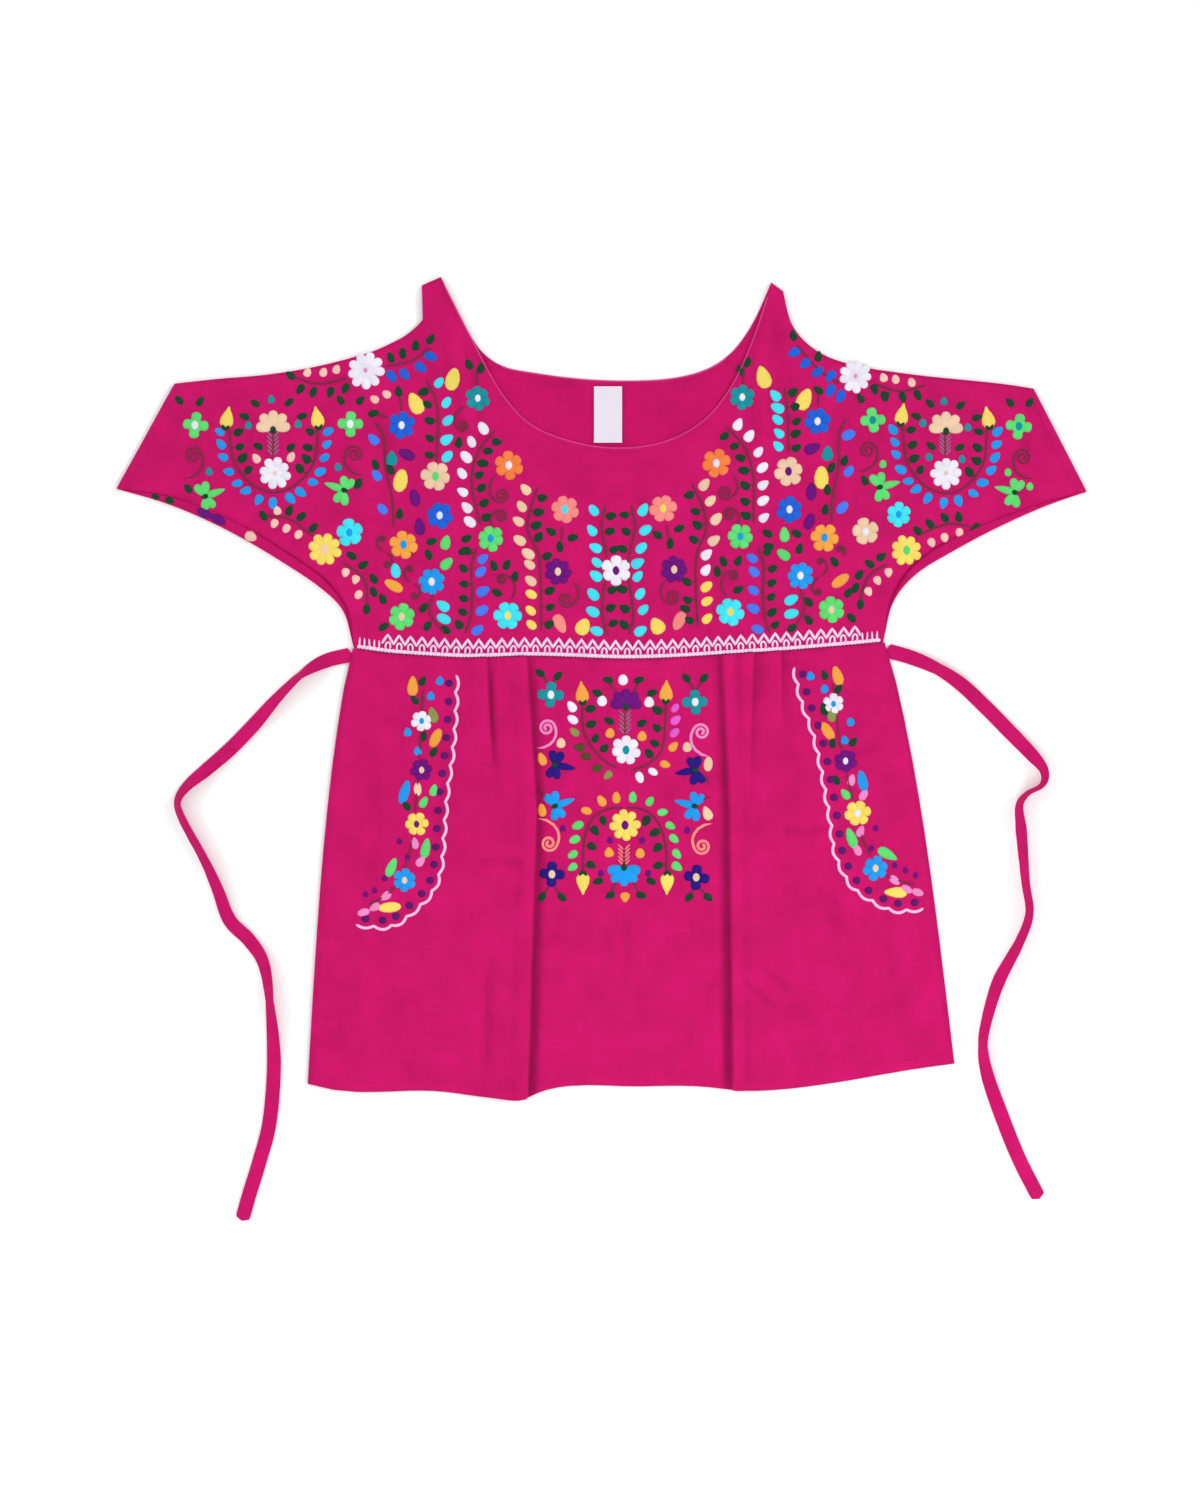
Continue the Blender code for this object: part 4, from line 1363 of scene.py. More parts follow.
LEFT_YOKE = Sampler(
    flowers=(
        Flower(-174.4, 180.8, 21.6, 6, "royal_blue", "white"),
        Flower(-144.0, 108.8, 21.6, 6, "royal_blue", "white"),
        Flower(-147.2, 140.0, 24, 6, "cream", "lime"),
        Flower(-113.6, 202.4, 20, 6, "teal", "white"),
        Flower(-88.8, 148.8, 23, 6, "orange", "white"),
        Flower(-103.2, 90.4, 21, 6, "lime", "azure"),
        Flower(-44.0, 113.6, 23, 6, "coral", "sky"),
        Flower(-172.8, 85.6, 23, 6, "amber", "azure"),
        Flower(-216.0, 95.2, 22, 5, "sky", "azure"),
        Flower(-236.0, 81.6, 27, 8, "yellow", "cream"),
        Flower(-174.4, 28.0, 22, 6, "lime", "cream"),
        Flower(-150.4, 56.0, 22, 7, "azure", "white"),
        Flower(-89.6, 28.8, 23, 6, "sky", "yellow"),
        Flower(-49.6, 64.0, 22, 7, "purple", "cream"),
        Flower(-203.2, 224.8, 30, 9, "white", "pink"),
    ),
    leaves=(
        Leaves("yellow", 17, 11, ((-163.2, 198.4, 115), (-133.6, 217.6, 70), (-175.2, 136.8, 80))),
        Leaves("purple", 13, 8, ((-170.4, 157.6, 150), (-164.0, 123.2, 110), (-160.0, 100.0, 105))),
        Leaves("teal", 11, 8.5, ((-182.4, 154.4, 95),)),
        Leaves("peach", 7, 6, (
            (-196.0, 201.6, 140), (-186.4, 205.6, 150), (-273.6, 112.8, 100), (-276.0, 102.4, 250),
            (-266.4, 98.4, 240), (-256.8, 93.6, 240), (-219.2, 63.2, 260), (-211.2, 57.6, 250),
            (-208.8, 45.6, 240), (-249.6, 223.2, 70), (-236.8, 223.2, 80), (-226.4, 225.6, 70))),
        Leaves("leaf_green", 8.5, 5.6, (
            (-176.8, 208.0, 100), (-196.8, 190.4, 20), (-195.2, 149.6, 110), (-208.8, 134.4, 60),
            (-176.0, 110.4, 80), (-120.8, 229.6, 120), (-111.2, 226.4, 85), (-128.8, 167.2, 85),
            (-183.2, 145.6, 120), (-55.2, 96.0, 150), (-37.6, 91.2, 15), (-48.0, 84.0, 90),
            (-188.8, 20.0, 40), (-150.4, 88.0, 20), (-152.8, 77.6, 110), (-156.8, 35.2, 50),
            (-153.6, 20.8, 50), (-139.2, 17.6, 140), (-122.4, 90.4, 20), (-124.8, 80.0, 10),
            (-100.8, 68.8, 120), (-90.4, 69.6, 70), (-84.0, 60.0, 80), (-98.4, 47.2, 150),
            (-214.4, 76.8, 150), (-204.8, 69.6, 40), (-196.8, 58.4, 130), (-196.8, 48.0, 120),
            (-189.6, 42.4, 120), (-202.4, 34.4, 95), (-284.8, 108.8, 130), (-264.0, 112.8, 60),
            (-254.4, 108.0, 50), (-244.8, 99.2, 40), (-263.2, 220.8, 150), (-255.2, 209.6, 230),
            (-244.8, 207.2, 240), (-231.2, 207.2, 250), (-219.2, 210.4, 250), (-183.2, 235.2, 110),
            (-173.6, 238.4, 100), (-163.2, 244.8, 90), (-151.2, 249.6, 60))),
        Leaves("royal_blue", 10, 7, (
            (-182.4, 220.0, 300), (-172.0, 221.6, 310), (-159.2, 227.2, 320), (-151.2, 236.0, 340))),
        Leaves("sky", 11, 7.5, ((-179.2, 64.8, 100), (-141.6, 36.8, 150), (-140.8, 26.4, 160))),
        Leaves("amber", 15, 8, ((-180.8, 52.8, 145),)),
        Leaves("lime", 11, 7.5, ((-139.2, 87.2, 80), (-138.4, 70.4, 40))),
        Leaves("coral", 15, 9, ((-48.0, 22.4, 300),)),
        Leaves("yellow", 13, 11, ((-29.6, 20.0, 60),)),
    ),
    vines=(
        Vine(((-196.0, 184.0), (-189.0, 172.0), (-187.0, 146.0), (-182.0, 122.0), (-180.8, 99.0)),
             right=(("periwinkle", 3),), large="right"),
        Vine(((-155.2, 217.6), (-146.0, 196.0), (-146.4, 149.6)),
             left=(("sky", 5),), right=(("leaf_green", 5),), large="left"),
        Vine(((-99.2, 177.6), (-113.0, 160.0), (-118.4, 135.0), (-111.2, 100.0)), left=(("leaf_green", 7),),
             right=(("white", 7),), large="right"),
        Vine(((-65.6, 132.0), (-72.0, 112.0), (-73.6, 96.0), (-64.8, 76.0), (-63.2, 40.0), (-63.2, 16.0)),
             left=(("leaf_green", 9),), right=(("cream", 7), ("yellow", 3)), large="right"),
        Vine(((-114.5, 84.0), (-118.6, 68.0), (-118.0, 44.0), (-119.6, 26.0), (-124.0, 14.0)),
             left=(("periwinkle", 5),), right=(("leaf_green", 6),), large="left"),
        Vine(((-284.8, 108.8), (-264.0, 106.0), (-244.0, 91.2))),
        Vine(((-223.2, 72.8), (-208.0, 62.0), (-202.4, 52.0), (-202.4, 34.4))),
        Vine(((-263.2, 220.8), (-241.0, 214.0), (-217.0, 219.0))),
        Vine(((-188.0, 228.0), (-168.0, 232.0), (-150.4, 243.2))),
        Vine(((-148.0, 50.0), (-152.0, 32.0), (-140.0, 14.0))),
        Vine(((-174.0, 192.0), (-176.0, 204.0))),
        Vine(((-196.0, 190.0), (-184.0, 187.0))),
        Vine(((-114.0, 212.0), (-115.0, 226.0))),
        Vine(((-46.0, 101.0), (-47.0, 88.0))),
    ),
    spirals=(
        Spiral(-125.6, 180.8, 5.6, (-121.0, 197.0)),
        Spiral(-94.4, 124.8, 7, (-98.0, 142.0)),
        Spiral(-95.2, 108.0, 6, (-101.0, 99.0), hand=-1),
        Spiral(-94.4, 57.6, 5, (-88.0, 40.0)),
        Spiral(-43.2, 41.6, 7, (-38.0, 57.0), hand=-1),
        Spiral(-190.0, 90.0, 3.2, (-188.0, 80.0), hand=-1),
        Spiral(-186.0, 70.0, 3.2, (-188.0, 80.0), hand=-1),
        Spiral(-168.0, 66.0, 3.2, (-166.0, 55.0), hand=-1),
        Spiral(-164.0, 45.0, 3.2, (-166.0, 55.0), hand=-1),
    ),
)
RIGHT_YOKE = Sampler(
    flowers=(
        Flower(157.6, 184.0, 21.6, 6, "royal_blue", "white"),
        Flower(135.2, 113.6, 21.6, 6, "royal_blue", "white"),
        Flower(134.4, 144.0, 24, 6, "cream", "purple"),
        Flower(97.6, 203.2, 20, 6, "teal", "white"),
        Flower(76.8, 150.4, 23, 6, "orange", "white"),
        Flower(96.0, 92.0, 21, 6, "lime", "azure"),
        Flower(34.4, 114.4, 23, 6, "coral", "yellow"),
        Flower(163.2, 91.2, 23, 6, "amber", "azure"),
        Flower(196.0, 96.0, 22, 5, "cream", "white"),
        Flower(222.4, 109.6, 20, 6, "sky", "azure"),
        Flower(228.8, 81.0, 25, 8, "yellow", "lime"),
        Flower(168.8, 33.6, 22, 6, "lime", "cream"),
        Flower(144.0, 60.8, 22, 7, "azure", "white"),
        Flower(88.0, 32.0, 23, 6, "sky", "yellow"),
        Flower(43.2, 65.6, 22, 7, "purple", "cream"),
        Flower(188.0, 220.0, 27, 9, "white", "pink"),
    ),
    leaves=(
        Leaves("yellow", 17, 11, ((114.4, 219.2, 105), (147.2, 201.6, 70), (160.8, 139.2, 95))),
        Leaves("purple", 13, 8, ((153.6, 162.4, 30), (152.8, 128.0, 80), (151.2, 104.0, 75))),
        Leaves("teal", 11, 8.5, ((165.6, 158.4, 80),)),
        Leaves("peach", 7, 6, (
            (210.4, 219.0, 110), (220.0, 217.5, 100), (232.8, 215.0, 110), (214.4, 63.2, 280),
            (205.6, 56.8, 290), (198.4, 48.0, 290), (248.8, 87.2, 290), (259.2, 91.2, 290),
            (271.2, 95.2, 280))),
        Leaves("leaf_green", 8.5, 5.6, (
            (101.6, 231.2, 70), (96.0, 224.8, 120), (138.4, 252.8, 110), (158.4, 236.0, 80),
            (158.4, 208.8, 150), (203.2, 209.6, 290), (211.2, 204.0, 290), (225.6, 203.2, 290),
            (237.6, 204.8, 300), (29.6, 93.6, 150), (40.0, 86.4, 90), (47.2, 98.4, 20),
            (168.8, 147.2, 60), (179.2, 152.8, 70), (165.6, 129.6, 100), (164.0, 113.6, 80),
            (117.6, 94.4, 160), (118.4, 84.0, 170), (140.8, 94.4, 150), (143.2, 82.4, 70),
            (150.4, 40.0, 130), (150.4, 25.6, 130), (137.6, 19.2, 40), (184.8, 27.2, 140),
            (171.2, 72.0, 120), (82.4, 72.0, 110), (94.4, 72.8, 60), (77.6, 64.0, 100),
            (94.4, 49.6, 30), (52.0, 34.4, 150), (208.8, 76.0, 30), (199.2, 70.4, 140),
            (191.2, 61.6, 50), (188.0, 51.2, 60), (182.4, 47.2, 60), (192.0, 38.4, 85),
            (237.6, 96.8, 140), (247.2, 102.4, 130), (259.2, 107.2, 120), (270.4, 108.0, 100),
            (284.0, 99.2, 50))),
        Leaves("royal_blue", 10, 7, (
            (139.2, 239.2, 200), (148.0, 230.4, 215), (157.6, 223.2, 220), (168.0, 220.0, 230),
            (168.0, 208.8, 240), (176.0, 204.0, 250))),
        Leaves("sky", 11, 7.5, ((136.8, 41.6, 30), (136.8, 30.4, 20))),
        Leaves("amber", 15, 8, ((176.0, 56.8, 35),)),
        Leaves("lime", 11, 7.5, ((131.2, 93.6, 100), (130.4, 77.6, 140))),
        Leaves("coral", 15, 9, ((47.2, 24.8, 240),)),
        Leaves("yellow", 13, 11, ((29.6, 20.8, 120),)),
    ),
    vines=(
        Vine(((181.0, 187.0), (175.0, 174.0), (174.5, 148.0), (170.0, 124.0), (168.8, 102.0)),
             left=(("periwinkle", 3),), large="left"),
        Vine(((131.2, 211.2), (134.0, 190.0), (134.4, 158.4)), left=(("leaf_green", 5),), right=(("sky", 5),),
             large="right"),
        Vine(((84.0, 180.8), (99.0, 164.0), (106.4, 140.0), (106.4, 102.0)), left=(("white", 7),),
             right=(("leaf_green", 7),), large="left"),
        Vine(((56.8, 135.2), (66.0, 116.0), (68.8, 98.0), (61.0, 76.0), (60.8, 44.0), (62.4, 19.2)),
             left=(("cream", 4), ("white", 2), ("yellow", 3)), right=(("leaf_green", 8),), large="left"),
        Vine(((110.0, 84.0), (114.6, 68.0), (114.0, 44.0), (116.0, 26.0), (120.0, 14.0)),
             left=(("leaf_green", 6),), right=(("periwinkle", 5),), large="right"),
        Vine(((284.0, 99.2), (262.0, 102.0), (237.6, 93.0))),
        Vine(((214.4, 71.0), (200.0, 62.0), (194.0, 50.0), (192.0, 38.4))),
        Vine(((244.8, 213.0), (224.0, 208.0), (203.0, 214.0))),
        Vine(((176.0, 213.6), (158.0, 226.0), (140.0, 246.0))),
        Vine(((143.0, 54.0), (147.0, 34.0), (137.0, 16.0))),
        Vine(((158.0, 195.0), (158.4, 206.0))),
        Vine(((98.0, 213.0), (99.0, 226.0))),
        Vine(((37.0, 102.0), (39.0, 90.0))),
    ),
    spirals=(
        Spiral(84.0, 127.2, 7, (88.0, 143.0), hand=-1),
        Spiral(87.2, 109.6, 6, (92.0, 100.0)),
        Spiral(90.4, 60.8, 5, (86.0, 43.0), hand=-1),
        Spiral(41.6, 44.0, 7, (37.0, 58.0)),
        Spiral(176.0, 82.0, 3.2, (177.0, 76.0)),
        Spiral(160.0, 72.0, 3.2, (160.0, 60.0)),
        Spiral(158.0, 48.0, 3.2, (160.0, 60.0)),
    ),
)
CENTRE_YOKE = Sampler(
    flowers=(Flower(-3.2, 64.8, 24, 6, "white", "purple"),),
    vines=(
        Vine(((-11.5, 118.0), (-14.6, 100.0), (-12.0, 84.0), (-9.5, 66.0), (-13.5, 48.0), (-14.0, 28.0),
              (-9.5, 13.0)),
             left=(("leaf_green", 7),), right=(("sky", 8),), large="right"),
        Vine(((9.0, 118.0), (12.0, 100.0), (9.0, 84.0), (5.5, 66.0), (8.5, 48.0), (10.5, 28.0), (7.0, 13.0)),
             left=(("sky", 8),), right=(("leaf_green", 7),), large="left"),
    ),
)
SKIRT_MIDDLE = Sampler(
    flowers=(
        Flower(-55.2, -34.4, 21, 4, "teal", "white"),
        Flower(60.0, -40.0, 21, 4, "teal", "white"),
        Flower(4.8, -78.4, 24, 7, "white", "teal"),
        Flower(4.0, -138.4, 25, 8, "yellow", "purple"),
        Flower(-54.4, -177.6, 21, 4, "navy", "cream"),
        Flower(60.8, -180.0, 21, 4, "navy", "cream"),
    ),
    leaves=(
        Leaves("leaf_green", 8, 5.4, (
            (-64.0, -16.8, 150), (-49.6, -19.2, 50), (52.8, -20.8, 140), (67.2, -20.8, 45),
            (-9.6, -22.4, 160), (15.2, -22.4, 20), (-18.4, -32.8, 160), (25.6, -32.8, 20),
            (-8.8, -55.2, 150), (17.6, -56.8, 30), (-17.6, -183.2, 200), (24.8, -183.2, 340),
            (-8.0, -194.4, 200), (16.8, -194.4, 340), (-62.4, -196.0, 230), (-46.4, -196.0, 320),
            (55.2, -196.0, 220), (70.4, -196.0, 330))),
        Leaves("white", 8, 7.5, ((2.4, -22.4, 90), (-14.4, -39.2, 90), (23.2, -40.0, 90))),
        Leaves("amber", 7.5, 7, (
            (-8.0, -64.8, 90), (17.6, -67.2, 90), (-8.8, -160.0, 90), (16.0, -160.8, 90),
            (4.0, -196.0, 270))),
        Leaves("cream", 7.5, 7, ((-47.2, -72.8, 90), (53.6, -76.0, 90))),
        Leaves("amber", 10, 6.5, ((-62.4, -85.6, 110), (-62.4, -126.4, 95))),
        Leaves("cream", 11, 7, ((70.4, -89.6, 80), (69.6, -128.8, 110))),
        Leaves("purple", 5, 4.6, (
            (-45.6, -140.8, 90), (53.6, -142.4, 90), (-8.0, -150.4, 90), (17.6, -150.4, 90),
            (-15.2, -176.8, 90), (22.4, -176.8, 90))),
    ),
    vines=(
        Vine(((-30.2, -39.6), (-28.8, -64.0), (-16.0, -84.0), (-2.0, -93.0)), left=(("leaf_green", 5),),
             right=(("white", 2), ("olive", 1), ("dark_olive", 3), ("olive", 1)), large="right", size=0.84),
        Vine(((36.8, -39.4), (34.4, -74.4), (24.8, -88.0), (8.0, -95.0)), right=(("leaf_green", 5),),
             left=(("orchid", 3), ("amber", 2), ("white", 2)), large="left", size=0.84),
        Vine(((-29.6, -177.6), (-28.4, -150.0), (-22.0, -133.0), (-10.0, -125.5), (3.0, -124.4)),
             right=(("leaf_green", 5),), left=(("lime", 4), ("amber", 3)), large="left", grows=-1, size=0.84),
        Vine(((37.4, -177.6), (36.0, -152.0), (29.0, -134.0), (17.0, -125.5), (4.0, -124.4)),
             left=(("leaf_green", 5),), right=(("lime", 7),), large="right", grows=-1, size=0.84),
        Vine(((-66.0, -109.0), (-62.0, -113.0), (-57.0, -119.0))),
        Vine(((73.0, -115.5), (68.0, -117.0), (63.5, -120.0))),
        Vine(((65.0, -97.0), (69.0, -101.0), (71.0, -106.5))),
        Vine(((-55.2, -28.0), (-62.0, -19.0))),
        Vine(((-55.2, -28.0), (-51.0, -20.0))),
        Vine(((60.0, -32.0), (54.0, -22.0))),
        Vine(((60.0, -32.0), (66.0, -22.0))),
        Vine(((-54.4, -184.0), (-61.0, -194.0))),
        Vine(((-54.4, -184.0), (-48.0, -194.0))),
        Vine(((60.8, -186.0), (56.0, -194.0))),
        Vine(((60.8, -186.0), (69.0, -194.0))),
        Vine(((-2.0, -34.0), (-9.0, -24.0))),
        Vine(((10.0, -34.0), (15.0, -24.0))),
        Vine(((-2.0, -182.0), (-8.0, -193.0))),
        Vine(((9.0, -182.0), (16.0, -193.0))),
    ),
    spirals=(
        Spiral(-58.4, -60.8, 7.7, (-67.0, -77.0), "pink"),
        Spiral(64.8, -64.0, 7.7, (72.0, -84.0), "pink", -1),
        Spiral(-56.8, -152.8, 7.7, (-66.0, -133.0), "coral", -1),
        Spiral(65.6, -155.2, 7.7, (74.0, -137.0), "coral"),
    ),
    buds=(
        Bud(-30.4, -33.0, 95, "amber"),
        Bud(36.8, -32.0, 88, "amber"),
        Bud(-29.6, -184.5, 270, "yellow"),
        Bud(37.6, -184.5, 268, "yellow"),
    ),
    half_flowers=(HalfFlower(4.8, -44.0, 90, 26, "purple"), HalfFlower(3.2, -172.0, 270, 27, "azure")),
    butterflies=(
        Butterfly(-52.0, -90.4, 350, "navy"),
        Butterfly(60.4, -94.4, 190, "navy"),
        Butterfly(-52.0, -123.2, 20, "azure"),
        Butterfly(59.6, -123.2, 165, "azure"),
    ),
    herringbones=(Herringbone(4.0, -47.2, -64.8, "silver"), Herringbone(3.2, -154.4, -169.6, "coral")),
)
LEFT_POCKET = Sampler(
    flowers=(
        Flower(-158.4, -55.2, 17, 6, "white", "azure"),
        Flower(-158.4, -94.4, 18, 6, "purple", "cream"),
        Flower(-162.4, -137.6, 19, 6, "yellow", "purple"),
        Flower(-172.0, -182.4, 19, 6, "azure", "cream"),
    ),
    leaves=(
        Leaves("amber", 15, 8, ((-165.6, -27.2, 95), (-147.2, -68.8, 70))),
        Leaves("azure", 6.5, 6, (
            (-144.0, -23.2, 90), (-151.2, -35.2, 90), (-169.6, -64.0, 90), (-161.6, -79.2, 90))),
        Leaves("azure", 18, 7.5, ((-172.0, -112.0, 78),)),
        Leaves("leaf_green", 8, 5.2, (
            (-157.6, -23.2, 60), (-164.0, -38.4, 140), (-156.8, -67.2, 80), (-148.8, -80.0, 60),
            (-170.4, -123.2, 130))),
        Leaves("cream", 10, 6, ((-161.6, -109.6, 100),)),
        Leaves("olive", 12, 7.5, ((-149.6, -50.4, 100),)),
        Leaves("lime", 9, 6.0, ((-148.8, -110.4, 70), (-156.8, -120.0, 60))),
        Leaves("lime", 15, 7.0, ((-155.2, -156.8, 80), (-182.4, -172.0, 60))),
        Leaves("purple", 4.6, 4.2, (
            (-176.0, -151.2, 90), (-169.6, -164.0, 90), (-203.2, -193.6, 90), (-196.0, -190.4, 90),
            (-188.0, -180.8, 90))),
        Leaves("pink", 9, 6, (
            (-164.0, -152.8, 110), (-159.2, -167.2, 60), (-187.2, -195.2, 220), (-196.0, -204.0, 210),
            (-204.8, -208.0, 190))),
        Leaves("yellow", 17, 8, ((-184.0, -204.0, 190),)),
    ),
    vines=(
        Vine(((-157.6, -30.4), (-160.0, -80.0), (-163.0, -120.0), (-168.0, -160.0), (-182.0, -190.0),
              (-201.6, -202.4))),
    ),
    pocket_edges=(
        PocketEdge(
            ((-130.0, -18.0), (-131.0, -50.4), (-133.6, -81.6), (-137.6, -111.2), (-140.0, -140.8),
             (-142.4, -171.2), (-149.0, -191.0), (-164.8, -208.0), (-184.0, -220.0), (-211.2, -218.5)),
            -1,
        ),
    ),
)
RIGHT_POCKET = Sampler(
    flowers=(
        Flower(170.4, -41.6, 17, 6, "white", "azure"),
        Flower(180.0, -87.2, 19, 6, "purple", "white"),
        Flower(189.6, -128.8, 21.6, 6, "yellow", "white"),
        Flower(204.0, -172.8, 20, 6, "azure", "cream"),
    ),
    leaves=(
        Leaves("azure", 6.5, 6, (
            (152.0, -19.2, 90), (163.2, -29.6, 90), (184.0, -56.0, 90), (179.2, -70.4, 90))),
        Leaves("azure", 16, 7.5, ((193.6, -103.2, 105),)),
        Leaves("amber", 15, 8, ((173.6, -19.2, 115), (165.6, -63.2, 125))),
        Leaves("leaf_green", 8, 5.2, (
            (163.2, -18.4, 120), (174.4, -29.6, 60), (169.6, -72.8, 100), (172.8, -102.4, 120),
            (186.0, -72.0, 50))),
        Leaves("pink", 9, 6, (
            (184.8, -102.4, 80), (194.4, -114.4, 60), (192.0, -143.2, 70), (189.6, -158.4, 110),
            (219.2, -182.4, 320), (228.8, -189.6, 330), (237.6, -192.0, 340))),
        Leaves("lime", 9, 6.0, ((180.0, -113.6, 130),)),
        Leaves("lime", 16, 7.5, ((184.8, -148.8, 112), (213.6, -161.6, 325))),
        Leaves("purple", 4.6, 4.2, (
            (204.0, -140.8, 90), (200.8, -156.8, 90), (219.2, -170.4, 90), (228.0, -174.4, 90),
            (236.0, -178.4, 90))),
        Leaves("yellow", 17, 8, ((220.0, -192.0, 172),)),
        Leaves("olive", 12, 7.5, ((169.6, -49.6, 80),)),
        Leaves("leaf_green", 10, 7, ((163.2, -45.6, 100),)),
    ),
    vines=(
        Vine(((170.0, -24.0), (175.0, -70.0), (184.0, -110.0), (194.0, -150.0), (212.0, -178.0),
              (236.0, -186.0))),
    ),
    pocket_edges=(
        PocketEdge(
            ((138.4, -12.0), (144.0, -38.0), (152.8, -62.4), (159.2, -88.0), (167.2, -132.8), (171.2, -160.0),
             (181.6, -183.2), (192.0, -193.6), (208.0, -203.2), (221.6, -207.2), (243.0, -205.6)),
            1,
        ),
    ),
)


class WrapLeaf(NamedTuple):
    """A leaf on the strip of the back that comes round the underarm seam."""

    x: float
    length: float
    colour: str


UNDERARM_LEAVES = [
    WrapLeaf(-371.2, 7.5, "leaf_green"),
    WrapLeaf(-359.2, 8.0, "leaf_green"),
    WrapLeaf(-334.5, 14.0, "purple"),
    WrapLeaf(-323.5, 14.0, "purple"),
    WrapLeaf(-296.6, 10.0, "peach"),
]
STRIP_FILLED = 0.95
LEAST_WRAP_LEAF = 3.0


class PetalForm(NamedTuple):
    """Petals and eye as shares of the flower's half width, or of a petal's room for the width."""

    length: float
    width: float
    eye: float


class SideLeaf(NamedTuple):
    """A leaf beside a vine: how far off it is, and how much it leans along the vine."""

    length: float
    width: float
    away: float
    lean: float


class Wing(NamedTuple):
    """A butterfly's wing, turned away from its tail, which is a wing with no turn."""

    turn: float
    reach: float
    width: float
    taper: float


TUBE_SIDES = 8
PAD_AROUND = 10
PAD_ALONG = 6
PAD_SUNK = 0.3
BATCH_SIZE = 1200
CURVE_STEP = 3.0
STEM_STITCH = 2.4
STEM_TWIST = 0.3
THREAD_ROUNDNESS = 0.42
THREAD_DEPTH = 0.84
WIDE_THREAD = 2.3
CROSS_PETALS = PetalForm(0.82, 0.8, 0.62)
ROUND_PETALS = PetalForm(0.72, 0.76, 0.56)
DAISY_PETALS = 8
DAISY_EYE = 0.28
FLOWER_GROUND = 1.2
EYE_STRETCH = 1.2
PETAL_COVER = 2.6
FLOWER_ROOM = 2.4
LEAF_FULLNESS = 1.1
LARGE_LEAF = SideLeaf(10.8, 7.8, 8.0, 0.9)
SMALL_LEAF = SideLeaf(8.8, 6.6, 6.8, 0.5)
STALK_BEND = 3.0
STALK_STEP = 1.6
STALK_WIDTH = 0.9
SPIRAL_TURNS = 2.1
SPIRAL_STEPS = 40
SPIRAL_CLOSING = 0.88
TAIL_TURN = 2.2
TAIL_BEND = 1.6
BUD_TIP_AWAY = 0.36
BUD_TIP_LENGTH = 0.5
BUD_TIP_WIDTH = 0.34
CUP_ASIDE = 1.6
CUP_ABOVE = 0.5
CUP_TURN = 0.6
CUP_SIZE = (5.5, 3.0)
FAN_PETALS = 5
FAN_START = -76
FAN_STEP = 38
FAN_MIDDLE_REACH = 0.56
FAN_SIDE_REACH = 0.5
FAN_AWAY = 0.56
FAN_LENGTH = 0.9
FAN_WIDTH = 0.3
FAN_HEART = (6.5, 5.0)
BUTTERFLY = (
    Wing(0.0, 16.0, 5.8, 0.45),
    Wing(1.2, 11.2, 7.0, -0.25),
    Wing(1.95, 11.2, 7.0, -0.25),
    Wing(-1.2, 10.6, 6.8, -0.25),
    Wing(-1.95, 10.6, 6.8, -0.25),
)
BUTTERFLY_BODY = (5.5, 4.4)
HERRINGBONE_PITCH = 3.3
HERRINGBONE_TURN = 0.75
HERRINGBONE_ASIDE = 2.6
HERRINGBONE_STITCH = (6.6, 1.4)
POCKET_STEP = 4.0
SCALLOP_LENGTH = 14.4
SCALLOP_DEPTH = 2.4
SCALLOP_STEPS = 8
DOT_PITCH = 14.6
DOT_AWAY = 6.3
DOT_SIZE = (6.6, 6.2)


def clear_runs(points, flowers):
    """The parts of a stem that no flower lies over."""
    runs = [[]]
    for point in points:
        if all((point - Vector(f[:2])).length > f.across / 2 - PETAL_COVER for f in flowers):
            runs[-1].append(point)
        elif runs[-1]:
            runs.append([])
    return [run for run in runs if len(run) > 2]


